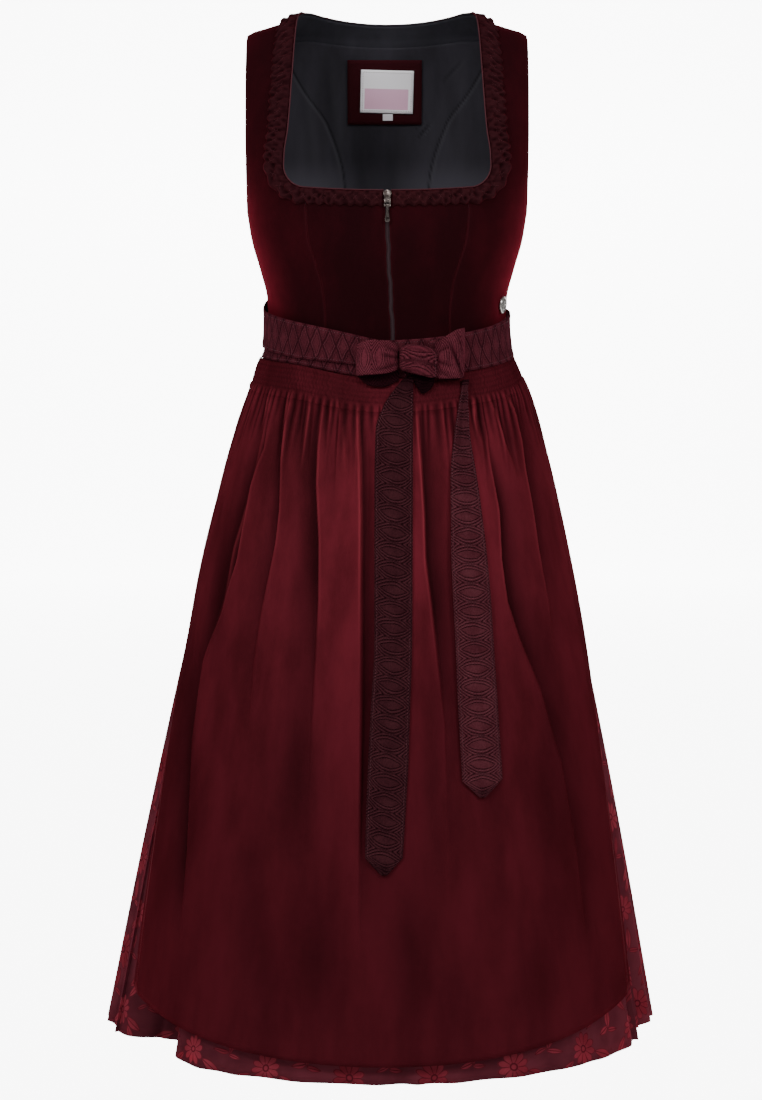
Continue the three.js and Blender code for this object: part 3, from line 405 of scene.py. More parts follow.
def block_label(name, ground, block, left, right, low, high, soft=0.4):
    """A white woven label whose lower part holds a plain block of colour."""
    finish = Finish(name, specular_ior_level=0.1)
    u, v = finish.cloth()
    half = (right - left) / 2
    inside = abs(u - (left + right) / 2).rise(half + soft, half - soft)
    inside = inside * v.rise(low - soft, low + soft) * v.rise(high + soft, high - soft)
    weave = weave_of(u, v, 9.0)
    finish.feed("Base Color", finish.blend(inside, ground, block))
    finish.feed("Roughness", weave * 0.12 + 0.5)
    finish.bump(weave, 0.00015, 0.5)
    return finish.material


def thread(name, one, two):
    finish = Finish(name, specular_ior_level=0.03)
    finish.feed("Base Color", finish.blend(finish.noise(finish.objects(), 320), one, two))
    finish.feed("Roughness", 0.6)
    return finish.material


LINING = lining("lining_black", "#2b292e", "#333137", "#403e45")
FACING = lining("facing_black", "#2b2a2f", "#323137", "#323137")
TAPE = woven("zip_tape", "#3e3034", "#523f43", 1.2, 0.75)
LABEL = block_label("label_white", "#fbf8fc", "#e9b9d1", 4.5, 52.5, 4.0, 26.0)
TAB = woven("tab_white", "#dcd6dc", "#efeaf0", 0.9, 0.55)
PIPING = woven("neck_piping", "#4a262c", "#5c343a", 1.1, 0.6)
CROSS_THREAD = thread("thread_cross", "#30141a", "#5c2e34")
EDGE_THREAD = thread("thread_edge", "#42222a", "#724850")
DARK_THREAD = thread("thread_dark", "#240a10", "#3a1018")
print("small finishes made:", LINING.name, TAPE.name, LABEL.name)

# %% [markdown]
# ## Old silver
# The slider, its pull and the button are silver that has darkened in the hollows. Noise drives both
# the colour and the roughness, so that the rubbed places are the brighter and the smoother ones.

# %% Metal finish
def old_silver(name, dark, bright, scale):
    finish = Finish(name, metallic=1.0)
    spot = finish.objects()
    worn = finish.noise(spot, scale, detail=3).rise(0.35, 0.65)
    finish.feed("Base Color", finish.blend(worn, dark, bright))
    finish.feed("Roughness", 0.42 - worn * 0.2)
    finish.bump(finish.noise(spot, scale * 6, detail=2), 0.0001, 0.4)
    return finish.material


SLIDER_SILVER = old_silver("silver_slider", "#3c3432", "#8d827d", 260)
BUTTON_SILVER = old_silver("silver_button", "#8d8984", "#e3e1dc", 300)
print("metal finishes:", SLIDER_SILVER.name, BUTTON_SILVER.name)

# %% [markdown]
# ## Apron satin
# The apron is a heavy satin with a fine crosswise slub. Two noises, drawn out down the cloth, change
# its shade slowly, the slub tints it lightly, and painted shade darkens it towards the hem. Most of
# the look comes from the folds: numbers kept on the mesh paint shade into them and a highlight along
# their edges.

# %% Satin finish
# Painted shade towards the hem: its colour, and the heights in metres where it starts and is full.
HEM_SHADE, SHADE_FROM, SHADE_FULL_AT = "#360e14", -0.42, -0.95


def satin(name, deep, light, hollow, crest):
    finish = Finish(name, sheen_weight=0.12, sheen_roughness=0.5, sheen_tint=hexed("#80202c"), metallic=0.2,
                    specular_ior_level=0.0, specular_tint=hexed("#7a2430"))
    spot = finish.objects()
    shade = finish.noise(finish.stretched(spot, (5, 5, 0.8)), 3, detail=4, roughness=0.6) * 0.75
    shade = shade + finish.noise(finish.stretched(spot, (1, 1, 0.5)), 24, detail=3, roughness=0.6) * 0.25
    slub = finish.noise(finish.stretched(spot, (900, 900, 60)), 1, detail=2)
    weave = (finish.cloth()[1] * 14.0).sin() * 0.5 + 0.5
    colour = finish.blend(shade.rise(0.34, 0.66), deep, light)
    height = finish.parts(spot)[2]
    colour = finish.blend(slub.rise(0.35, 0.7) * 0.06, colour, crest)
    # Painted shade, deeper towards the hem.
    colour = finish.blend(height.rise(SHADE_FROM, SHADE_FULL_AT) * 0.6, colour, HEM_SHADE)
    finish.dye(colour, hollow, crest, 0.7)
    finish.feed("Roughness", slub * 0.14 + 0.4)
    finish.bump(slub * 0.7 + weave * 0.3, 0.00018, 0.5)
    return finish.material


SATIN = satin("satin_wine", "#4a161d", "#6b222d", "#1c090c", "#89313b")
print("satin finish:", SATIN.name)

# %% [markdown]
# ## Skirt jacquard
# Jacquard shows its pattern by weave: the flowers float on the surface and catch the light, the ground
# is duller. Each motif is drawn in the cloth's own coordinates, which a slow noise bends. A flower is
# a circle whose radius swells with the angle, leaves are pointed ovals set round it, and dark lines
# go round and between them. Two layers of such motifs, half a repeat apart, make the usual half-drop.

# %% Jacquard finish
REPEAT_ACROSS, REPEAT_ALONG = 88, 104
GATHER_SHADE = "#160508"
MOTIFS = ((0.0, 13, 21.0, 0.3), (0.5, 10, 17.0, 0.9))
LEAVES = (((27, 12), -1.1, 13, 4.8), ((-25, 16), 0.9, 13, 4.6), ((20, -26), -2.3, 14, 4.2),
          ((-19, -29), 2.5, 12, 4.0), ((3, 33), 0.15, 12, 4.0), ((37, -8), 1.3, 9, 2.8),
          ((-37, -6), -1.4, 9, 2.8))


def blossom(finish, u, v, petals, size, turn):
    """One flower: its petals, and the dark lines between and round them."""
    radius = (u * u + v * v).root()
    angle = finish.node("ShaderNodeMath", {0: v, 1: u}, operation="ARCTAN2") + turn
    lobes = abs((angle * (petals / 2)).cos())
    edge = lobes * (size * 0.3) + size * 0.7
    body = (edge - radius).rise(-0.5, 0.5)
    rim = body - (edge - radius).rise(0.6, 1.4)
    ribs = abs((angle * (petals / 2)).sin()).rise(0.95, 0.995) * radius.rise(size * 0.2, size * 0.3)
    heart = (0.24 * size - radius).rise(-0.4, 0.4) - (0.14 * size - radius).rise(-0.4, 0.4)
    return body, (rim + ribs + heart).least(1.0) * body


def leaf(u, v, at, turn, long, wide):
    """A pointed leaf, and the dark lines round it and along its middle."""
    c, s = float(np.cos(turn)), float(np.sin(turn))
    across, along = (u - at[0]) * c + (v - at[1]) * s, (v - at[1]) * c - (u - at[0]) * s
    share = along / long
    edge = (1 - share * share).most(0.0) * wide - abs(across)
    body = edge.rise(-0.3, 0.4)
    return body, (1 - edge.rise(0.3, 0.9)).most(1 - abs(across).rise(0.2, 0.6)) * body


def jacquard(name, ground, shade, motif, bright, line_colour):
    finish = Finish(name, sheen_weight=0.1, sheen_roughness=0.5, sheen_tint=hexed("#803040"), metallic=0.15,
                    specular_ior_level=0.0, specular_tint=hexed("#7a3440"))
    spot = finish.objects()
    u0, v0 = finish.cloth()
    flat = finish.node("ShaderNodeCombineXYZ", {0: u0 * 0.02, 1: v0 * 0.02})
    sway = finish.noise(flat, 1.0, detail=1)
    u, v = u0 + sway * 18, v0 + sway * 12
    shapes = []
    for shift, petals, size, turn in MOTIFS:
        cu = ((u / REPEAT_ACROSS + shift).fract() - 0.5) * REPEAT_ACROSS
        cv = ((v / REPEAT_ALONG + shift).fract() - 0.5) * REPEAT_ALONG
        shapes.append(blossom(finish, cu, cv, petals, size, turn))
        shapes += [leaf(cu, cv, *shape) for shape in LEAVES]
    figure, lines = shapes[0]
    for body, line in shapes[1:]:
        figure, lines = figure.most(body), lines.most(line)
    weave = ((u0 + v0) * 7.0).sin() * 0.5 + 0.5
    cloud = finish.noise(spot, 22, detail=3).rise(0.3, 0.7)
    base = finish.blend(cloud, ground, shade)
    worked = finish.blend(figure, base, finish.blend(cloud, motif, bright))
    colour = finish.blend(lines * 0.75, worked, line_colour)
    # Painted shade in the gathers and folds of the skirt.
    finish.dye(colour, GATHER_SHADE)
    finish.feed("Roughness", 0.5 - figure * 0.16 + lines * 0.2)
    finish.bump(figure * 0.5 + weave * 0.15 - lines * 0.35, 0.0005, 0.5)
    return finish.material


JACQUARD = jacquard("jacquard_skirt", "#652c36", "#52222b", "#72242f", "#903642", "#36121a")
print("jacquard finish:", JACQUARD.name)

# %% [markdown]
# ## Quilted ribbon
# Waistband, ties and bow are one ribbon, quilted by machine. On bow and tails pointed ovals fill its
# width. A field that is the distance along from an oval's middle plus the square of the distance
# across has such ovals as its level lines, so a cosine of it draws ring after ring, stitched in dots,
# and a short valley parts one oval from the next. The waistband has a pointed lattice with an inner
# dotted line. The bump falls at each line, and beside it runs a painted highlight. Painted shade
# darkens the folds of bow, knot and tails.

# %% Ribbon finish
RIBBON_WIDE = 39.0
# Painted shade in the folds of the bow, knot and tails.
FOLD_SHADE = "#120509"
DOT_PITCH = 2.7
# Rings of the quilting, and how far beyond each ring its painted highlight runs.
RING_PITCH, RING_START, HIGHLIGHT_BESIDE_RING = 0.33, 0.5, 0.12


def quilted(name, ground, raised, line_colour, high, repeat, pointed):
    finish = Finish(name, sheen_weight=0.12, sheen_roughness=0.5, sheen_tint=hexed("#70404c"),
                    specular_ior_level=0.0)
    spot = finish.objects()
    u, v = finish.cloth()
    u = u + (finish.noise(spot, 80, detail=1) - 0.5) * 3
    half = repeat / 2
    from_middle = abs((u / repeat).fract() * repeat - half)
    across = abs(v) * (2 / RIBBON_WIDE)
    dots = (v * (2 * np.pi / DOT_PITCH)).cos() * 0.5 + 0.5
    if pointed:
        away = from_middle - (1 - across).most(0.0) * half
        inner = 1 - abs(abs(away) - half * 0.36).rise(0.2, 0.9)
        lines = (1 - abs(away).rise(0.3, 1.4)) * 0.75
        lines = lines.most(inner * (dots * 0.3 + 0.2))
        # A painted highlight just beside each lattice line.
        edge_highlight = (1 - abs(away + 1.4).rise(0.2, 1.1)) * 0.7
    else:
        field = from_middle / half + across * across * 1.15
        around, highlight_wave = [(field - start) * (2 * np.pi / RING_PITCH)
                          for start in (RING_START, RING_START + HIGHLIGHT_BESIDE_RING)]
        rings = around.cos().rise(0.0, 0.9) * field.rise(0.4, 0.5)
        valley = from_middle.rise(half - 1.6, half - 0.2) * (1 - across.rise(0.1, 0.4)) * 0.7
        lines = (rings * (dots * 0.6 + 0.4)).most(valley)
        # A painted highlight on a ring just outside each quilting ring.
        edge_highlight = highlight_wave.cos().rise(0.2, 1.0) * field.rise(0.45, 0.55)
    crepe = finish.noise(spot, 700, detail=3)
    pillow = (1 - lines) * 0.75 + crepe * 0.25
    worn = finish.noise(spot, 60, detail=2).rise(0.3, 0.7) * 0.5 + crepe.rise(0.35, 0.65) * 0.5
    colour = finish.blend(worn, ground, raised)
    colour = finish.blend(lines * (0.85 if pointed else 0.8), colour, line_colour)
    # The painted highlights, in the highlight colour.
    colour = finish.blend(edge_highlight * (crepe * 0.16 + dots * 0.14), colour, high)
    finish.dye(colour, FOLD_SHADE)
    finish.feed("Roughness", crepe * 0.2 + 0.5)
    finish.bump(pillow, 0.0022, 0.9)
    return finish.material


SASH = quilted("ribbon_sash", "#431a22", "#57252e", "#1a080d", "#8a4c58", 14.5, True)
BOW = quilted("ribbon_bow", "#4e1d27", "#682d38", "#220a10", "#9c525f", 15.0, False)
# Darker and lighter copies of the ribbon for the two tails; the darker one is painted shade.
SHADED_TAIL = quilted("ribbon_tail_dark", "#2f1419", "#422025", "#100406", "#6f3e46", 19.5, False)
LIT_TAIL = quilted("ribbon_tail_light", "#421b22", "#582b32", "#17070a", "#8c525c", 19.5, False)
print("ribbon finishes:", SASH.name, BOW.name, SHADED_TAIL.name, LIT_TAIL.name)

# %% [markdown]
# ## From grids to cloth
# Every cloth is a grid of points on the outside and the same grid moved in by the cloth's thickness.
# Joined round the rim they make a closed thin shell. The UV map holds the place on the flat cloth, in
# metres, so that patterns keep their size. `place` puts a piece on its body, and `cut` works out how
# large the flat piece was and hands the piece back. Cords and the knot are closed bodies of rings.

# %% Shells of cloth
def linked(name, data):
    made = bpy.data.objects.new(name, data)
    bpy.context.scene.collection.objects.link(made)
    return made


def build_mesh(name, points, faces, uv=None, flat=None, inner=None, materials=(), kept=None):
    mesh = bpy.data.meshes.new(name)
    faces = np.asarray(faces)
    corner = points[faces]
    volume = np.einsum("ij,ij->i", corner[:, 0], np.cross(corner[:, 1], corner[:, 2])).sum()
    volume += np.einsum("ij,ij->i", corner[:, 0], np.cross(corner[:, 2], corner[:, 3])).sum()
    if volume < 0:
        faces = faces[:, ::-1]
    mesh.vertices.add(len(points))
    mesh.vertices.foreach_set("co", (points * MM).ravel())
    mesh.loops.add(faces.size)
    mesh.loops.foreach_set("vertex_index", faces.ravel())
    mesh.polygons.add(len(faces))
    mesh.polygons.foreach_set("loop_start", np.arange(0, faces.size, 4))
    mesh.polygons.foreach_set("use_smooth", np.ones(len(faces), bool) if flat is None else ~flat)
    for material in materials:
        mesh.materials.append(material)
    if inner is not None and len(materials) > 1:
        mesh.polygons.foreach_set("material_index", inner.astype(np.int32))
    if uv is not None:
        layer = mesh.uv_layers.new(name="cloth")
        layer.data.foreach_set("uv", (uv[faces.ravel() % len(uv)] * MM).ravel())
    for label, values in (kept or {}).items():
        both = np.resize(values, len(points)).astype(np.float32)
        mesh.attributes.new(label, "FLOAT", "POINT").data.foreach_set("value", both)
    mesh.update(calc_edges=True)
    mesh.validate()
    return linked(name, mesh)


def shell(name, outer, inner, uv, materials, **kept):
    """Closed cloth between two grids; kept numbers stay on its points for the finishes."""
    rows, columns = outer.shape[:2]
    count = rows * columns
    index = np.arange(count).reshape(rows, columns)
    a, b, c, d = index[:-1, :-1], index[:-1, 1:], index[1:, 1:], index[1:, :-1]
    front = np.stack([a, b, c, d], -1).reshape(-1, 4)
    back = np.stack([a, d, c, b], -1).reshape(-1, 4) + count
    ring = np.concatenate([index[0], index[1:, -1], index[-1, -2::-1], index[-2:0:-1, 0]])
    after = np.roll(ring, -1)
    rim = np.stack([after, ring, ring + count, after + count], -1)
    faces = np.concatenate([front, back, rim])
    flat = np.arange(len(faces)) >= 2 * len(front)
    inside = (np.arange(len(faces)) >= len(front)) & ~flat
    points = np.concatenate([outer.reshape(-1, 3), inner.reshape(-1, 3)])
    kept = {label: np.broadcast_to(values, outer.shape[:2]).ravel() for label, values in kept.items()}
    return build_mesh(name, points, faces, uv.reshape(-1, 2), flat, inside, materials, kept)


def lengths(grid):
    """Running lengths across and along a grid, from its first column and first row."""
    across = np.linalg.norm(np.diff(grid, axis=1), axis=-1)
    along = np.linalg.norm(np.diff(grid, axis=0), axis=-1)
    return (np.pad(np.cumsum(across, 1), ((0, 0), (1, 0))), np.pad(np.cumsum(along, 0), ((1, 0), (0, 0))))


def grain(grid):
    """UV in millimetres for cloth whose threads run along the grid's columns."""
    across, along = lengths(grid)
    return np.stack(np.broadcast_arrays(across.mean(0), along.mean(1)[:, None]), -1)


def gathered_grain(grid):
    """The same for gathered cloth, whose width is the one of its lowest row."""
    across, along = lengths(grid)
    return np.stack(np.broadcast_arrays(across[-1], along), -1)


def cut(piece, grid, held):
    """Work out how large the flat cloth was, from the grid's longest row and longest column; the numbers
    are not passed on.
    """
    across, along = lengths(grid)
    sides = [np.diff(grid, axis=1)[:-1], np.diff(grid, axis=0)[:, :-1]]
    area = np.linalg.norm(np.cross(*sides), axis=-1).sum()
    wide, long = max(10.0, across[:, -1].max()), along[-1].max() * (2 if held == "folded" else 1)
    share = min(1.0, max(0.3, area / (wide * long)))
    wide * MM
    long * MM
    share * wide * long * MM * MM
    return piece


def place(piece, slot, *nodes, body="dress"):
    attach(piece, body)
    if nodes:
        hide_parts(*nodes)
    return piece


def closed_body(name, rings, ends, uv, material, kept=None):
    """A body from rings of points, each end closed on one point."""
    count = rings.shape[1]
    points = np.concatenate([rings.reshape(-1, 3), ends])
    index = np.arange(len(points) - 2).reshape(-1, count)
    nxt = np.roll(index, -1, axis=1)
    walls = np.stack([index[:-1], nxt[:-1], nxt[1:], index[1:]], -1).reshape(-1, 4)
    first, last = len(points) - 2, len(points) - 1
    half = range(0, count, 2)
    caps = [(first, nxt[0, (i + 1) % count], nxt[0, i], index[0, i]) for i in half]
    caps += [(last, index[-1, i], nxt[-1, i], nxt[-1, (i + 1) % count]) for i in half]
    uv = np.concatenate([uv.reshape(-1, 2), np.zeros((2, 2))])
    return build_mesh(name, points, np.concatenate([walls, np.array(caps)]), uv, materials=[material],
                      kept=kept)


# %% [markdown]
# ## Stitches with Geometry Nodes
# Hand and machine stitches are the same small shape repeated along a line. One node tree does all of
# them: it turns the line into a curve, resamples it at the stitch spacing, sets one grain of thread on
# each point, lined up with the line and with the cloth below, and makes the result real.

# %% The stitching tree
def stitching_tree():
    tree = bpy.data.node_groups.new("stitches_along_a_line", "GeometryNodeTree")
    tree.interface.new_socket("Line", in_out="INPUT", socket_type="NodeSocketGeometry")
    for label in ("Spacing", "Length", "Width", "Height", "Turn"):
        tree.interface.new_socket(label, in_out="INPUT", socket_type="NodeSocketFloat")
    tree.interface.new_socket("Thread", in_out="INPUT", socket_type="NodeSocketMaterial")
    tree.interface.new_socket("Stitches", in_out="OUTPUT", socket_type="NodeSocketGeometry")
    new, link = tree.nodes.new, tree.links.new
    given, made = new("NodeGroupInput"), new("NodeGroupOutput")
    as_curve, resample = new("GeometryNodeMeshToCurve"), new("GeometryNodeResampleCurve")
    resample.mode = "LENGTH"
    tangent, above = new("GeometryNodeInputTangent"), new("GeometryNodeInputNamedAttribute")
    above.data_type = "FLOAT_VECTOR"
    above.inputs["Name"].default_value = "above"
    axes = new("FunctionNodeAxesToRotation")
    axes.primary_axis, axes.secondary_axis = "Z", "X"
    spin, turned = new("FunctionNodeAxisAngleToRotation"), new("FunctionNodeRotateRotation")
    turned.rotation_space = "LOCAL"
    grain_of_thread, size = new("GeometryNodeMeshUVSphere"), new("ShaderNodeCombineXYZ")
    grain_of_thread.inputs["Segments"].default_value = 8
    grain_of_thread.inputs["Rings"].default_value = 5
    grain_of_thread.inputs["Radius"].default_value = 0.5
    scaled = new("GeometryNodeTransform")
    instance, real, paint = (new("GeometryNodeInstanceOnPoints"), new("GeometryNodeRealizeInstances"),
                             new("GeometryNodeSetMaterial"))
    for source, out, target, into in (
            (given, "Line", as_curve, 0), (as_curve, 0, resample, 0),
            (given, "Spacing", resample, "Length"), (above, 0, axes, 0), (tangent, 0, axes, 1),
            (given, "Turn", spin, "Angle"),
            (axes, 0, turned, 0), (spin, 0, turned, 1), (given, "Length", size, 0),
            (given, "Width", size, 1), (given, "Height", size, 2), (grain_of_thread, 0, scaled, 0),
            (size, 0, scaled, "Scale"), (resample, 0, instance, "Points"),
            (scaled, 0, instance, "Instance"), (turned, 0, instance, "Rotation"), (instance, 0, real, 0),
            (real, 0, paint, 0), (given, "Thread", paint, "Material"), (paint, 0, made, 0)):
        link(source.outputs[out], target.inputs[into])
    return tree


STITCHING = stitching_tree()


def stitched(name, line, above, material, spacing, length, width, height=None, turn=0.0):
    """Stitches along a line of points in millimetres; above is the outward direction at each."""
    mesh = bpy.data.meshes.new(name + "_line")
    mesh.from_pydata((line * MM).tolist(), [(i, i + 1) for i in range(len(line) - 1)], [])
    upwards = mesh.attributes.new("above", "FLOAT_VECTOR", "POINT")
    upwards.data.foreach_set("vector", above.astype(float).ravel())
    carrier = linked(name + "_line", mesh)
    modifier = carrier.modifiers.new("stitches", "NODES")
    modifier.node_group = STITCHING
    values = {"Spacing": spacing * MM, "Length": length * MM, "Width": width * MM,
              "Height": (height or width * 0.8) * MM, "Turn": turn, "Thread": material}
    for socket in STITCHING.interface.items_tree:
        if socket.in_out == "INPUT" and socket.name in values:
            modifier[socket.identifier] = values[socket.name]
    graph = bpy.context.evaluated_depsgraph_get()
    result = bpy.data.meshes.new_from_object(carrier.evaluated_get(graph), depsgraph=graph)
    carrier.modifiers.remove(modifier)
    bpy.data.objects.remove(carrier)
    result.name = name
    result.polygons.foreach_set("use_smooth", np.ones(len(result.polygons), bool))
    return linked(name, result)


print("stitching tree:", len(STITCHING.nodes), "nodes")

# %% [markdown]
# ## The bodice
# Seven velvet panels meet in seams that run from the neck corners and the armholes to the waist. Each
# panel is a grid on the form between two edges. Along its edges the cloth rolls in a little, which is
# what makes a seam show as a fine line, with a painted highlight beside it, and its inner face takes
# the lining's finish. The panels of the wearer's right are mirrored ones; after that both sides lean
# with the zip.

# %% Edges of the panels
ARMHOLE_X, ARMPIT_Z = 148, -200
CORNER_X, CORNER_Z, CORNER_R = 84, -152, 23
NECK_BOTTOM = -178
NECK_SIDE = table("z x", [(8, 88.5), (3, 93.5), (-14, 96), (-60, 99), (-116, 103), (-138, 106.3),
                          (-152, 107)])
FRONT_SEAM = table("z x", [(-175, 85), (-223, 82), (-252, 74), (-275, 67.5), (-307, 64.5), (-366, 66)])
BACK_SEAM = table("z x", [(-41, 148), (-48, 131), (-58, 111), (-72, 92), (-109, 66), (-169, 49), (-260, 43),
                          (-352, 45)])


def side_edge(z, in_front):
    """Angle of the side seam, or of the armhole above it."""
    seam = seam_reach(z, in_front, HALF_GAP)
    half = curve(FORM, "left", z)
    armhole = np.degrees(np.arcsin(np.minimum(1, ARMHOLE_X / half) ** (curve(FORM, "squareness", z) / 2)))
    angle = np.where(z > ARMPIT_Z, np.minimum(seam, armhole), seam)
    return angle if in_front else 180 - angle


def neck_edge_x(z):
    """Half width of the neck opening: straight, then a round corner, then the front seam."""
    round_part = CORNER_X + np.sqrt(np.maximum(0, CORNER_R ** 2 - np.minimum(0, z - CORNER_Z) ** 2))
    lower = np.where(z >= CORNER_Z - CORNER_R, round_part, curve(FRONT_SEAM, "x", z))
    return np.where(z >= CORNER_Z, curve(NECK_SIDE, "x", z), lower)


def back_neck_lift(z, angle):
    """The back of the neck dips in the middle."""
    share = np.minimum(1, np.abs(form(angle, z)[..., 0]) / 80)
    return -10 * (1 - share * share) * ramp(z, -60, 8)


def back_seam_angle(z):
    edge = side_edge(z, False)
    seam = back_angle(curve(BACK_SEAM, "x", z) - HALF_GAP, z)
    return np.where(z >= BACK_SEAM["z"][0], edge, np.maximum(edge, seam))


def levels(low, high, step, *also):
    """Heights of a panel's rows, with a few more where its edge turns."""
    return np.unique(np.concatenate([np.arange(low, high, step), [high], also]))


def panel_places(z, columns, start, end, lift=None):
    """Angle and height of a panel's points between two edges, closer together near the edges."""
    share = 0.5 - 0.5 * np.cos(np.linspace(0, np.pi, columns + 1))
    angle = mix(start[:, None], end[:, None], share[None])
    level = np.broadcast_to(z[:, None], angle.shape)
    height = level + (waist_z(angle) - WAIST_SIDE_Z) * (1 - ramp(level, WAIST_SIDE_Z, WAIST_SIDE_Z + 45))
    if lift is None:
        return angle, height
    height = height + lift(level, angle)
    x = form(angle, level)[..., 0]
    front = np.cos(np.radians(angle)) >= 0
    return np.where(front, front_angle(x, height), back_angle(x, height)), height


def over_panel(angle, z):
    """Distance across a panel from its first edge, and from the nearer of its two edges."""
    across, _ = lengths(form(angle, z))
    return across, np.minimum(across, across[:, -1:] - across)


def panel_grid(places, out, roll, seed):
    """Points of a panel: on the form, uneven like cloth, and rolled in along its two edges."""
    angle, z = places
    across, from_edge = over_panel(angle, z)
    wave = ripple(across / 17, z / 22, seed) * 0.35 * ramp(from_edge, 0, 18)
    return off_form(angle, z, out + wave - roll * bell(from_edge, 1.5))


def panel_faces(places, seed):
    return panel_grid(places, 0, 0.8, seed), panel_grid(places, -VELVET_THICK, -0.1, seed)


def mirrored(grid):
    return grid * np.array([-1, 1, 1])


SIDES = (("left", lambda grid: grid), ("right", mirrored))


def leaned(grid):
    """The zip leans a little towards the wearer's left as it goes down, and wavers on the way."""
    x, z = grid[..., 0], grid[..., 2]
    shift = 6 * ramp(-z, 200, 350) * bell(x, 38)
    waver = 0.45 * np.sin(z / 6.5) + 0.3 * np.sin(z / 2.9 + 1)
    shift = shift + waver * bell(x, 9) * ramp(-z, 208, 225)
    return grid + np.stack([shift, 0 * x, 0 * x], -1)


def painted_light_of(places):
    """Painted sheen, lighter towards the sides of the form, and a painted highlight beside the seams, 0 to
    1.
    """
    angle, z = places
    side = np.abs((angle + 180) % 360 - 180)
    side = np.minimum(side, 180 - side)
    _, from_edge = over_panel(angle, z)
    # Painted sheen: the sides of the form, where light grazes the velvet, are painted a lighter red.
    nap = ramp(side, 38, 86) * (0.3 + 0.7 * ramp(-z, 130, 290))
    nap = nap + 0.12 * ripple(side / 12, z / 40, 13) * ramp(side, 20, 50)
    return dict(nap=np.clip(nap, 0, 1), seam=bell(from_edge, 0.9) * ramp(-z, 178, 190))


# %% Velvet panels
def sag(z, angle):
    """The front neck edge rises a little from the zip to the corner."""
    return 3 * (form(angle, z)[..., 0] / CORNER_X) ** 2 * ramp(z, -230, NECK_BOTTOM)


BACK_NECK_ROWS = (-43, -46, -50, -54)
center_z = levels(WAIST_SIDE_Z, NECK_BOTTOM, 4)
side_z = levels(WAIST_SIDE_Z, 8, 4, -175, -174, -173, -172, -170, -167, -163, -158)
back_side_z = levels(WAIST_SIDE_Z, -42, 4, *BACK_NECK_ROWS)
back_z = levels(WAIST_SIDE_Z, 8, 4, *BACK_NECK_ROWS, 4, 6)
back_edge = back_seam_angle(back_z)
PANELS = {
    "bodice_front_center": panel_places(
        center_z, 26, front_angle(2.2, center_z),
        front_angle(curve(FRONT_SEAM, "x", center_z) - HALF_GAP, center_z), sag),
    "bodice_front_side": panel_places(
        side_z, 26, front_angle(neck_edge_x(side_z) + HALF_GAP, side_z), side_edge(side_z, True)),
    "bodice_back_side": panel_places(
        back_side_z, 24, side_edge(back_side_z, False),
        back_angle(curve(BACK_SEAM, "x", back_side_z) + HALF_GAP, back_side_z)),
}


def velvet_panel(node, outer, inner, grid, pile):
    piece = shell(f"{node}_velvet", outer, inner, grain(grid), [VELVET, LINING], **pile)
    cut(place(piece, "velvet", node), grid, "hung")


for seed, (node, places) in enumerate(PANELS.items()):
    outer, inner = panel_faces(places, seed + 3)
    for side, turn in SIDES:
        velvet_panel(f"{node}_{side}", leaned(turn(outer)), leaned(turn(inner)), outer, painted_light_of(places))
places = panel_places(back_z, 56, back_edge, 360 - back_edge, back_neck_lift)
outer, inner = panel_faces(places, 8)
velvet_panel("bodice_back_center", outer, inner, outer, painted_light_of(places))
print("velvet panels:", 2 * len(PANELS) + 1)

# %% [markdown]
# ## Inside the back
# Through the neck one sees the lining, the facing that follows the neck edge, and the label on its
# velvet patch. The lining has seams of its own, shown as shallow grooves, and a few long creases that
# run down from the shoulders. They are placed from a short table, as lines with a depth and a
# width. The label and its patch are small grids laid on the back, slightly turned and curled.

# %% Lining and facing
LINING_DEPTH, LINING_THICK = VELVET_THICK + 2.3, 0.9
LINING_SEAM = table("z x", [(-20, 118), (-70, 91), (-109, 64), (-169, 47), (-345, 42)])
CREASES = table("x0 z0 x1 z1 deep wide", [
    (-64, -40, -56, -150, 0.8, 6), (-30, -112, -24, -240, 0.7, 7), (47, -106, 34, -121, 1.6, 1.2),
    (40, -104, 31, -112, 1, 1.1), (-92, -60, -84, -160, 0.6, 7), (62, -60, 80, -40, 0.9, 2),
    (10, -112, 4, -240, 0.6, 8)])


def creased(x, z, rows):
    """Depth of listed creases at points of a cloth."""
    depth = 0 * x
    for x0, z0, x1, z1, deep, wide in zip(*rows.values()):
        run_x, run_z = x1 - x0, z1 - z0
        along = np.clip(((x - x0) * run_x + (z - z0) * run_z) / (run_x ** 2 + run_z ** 2), 0, 1)
        away = np.hypot(x - mix(x0, x1, along), z - mix(z0, z1, along))
        fade = np.sin(np.pi * np.clip(along, 0.05, 0.95)) ** 0.5
        depth = depth + deep * bell(away, wide) * fade
    return depth


lining_z = levels(WAIST_SIDE_Z, -18.3, 3)
edge = side_edge(lining_z, False) + 8
angle, height = panel_places(lining_z, 210, edge, 360 - edge, back_neck_lift)
x = form(angle, height)[..., 0]
from_seam = np.abs(x) - curve(LINING_SEAM, "x", height)
folded = creased(x, height, CREASES)
relief = 0.7 * bell(from_seam, 1.6) - folded * 0.8 + ripple(x / 26, height / 40, 5) * 0.5
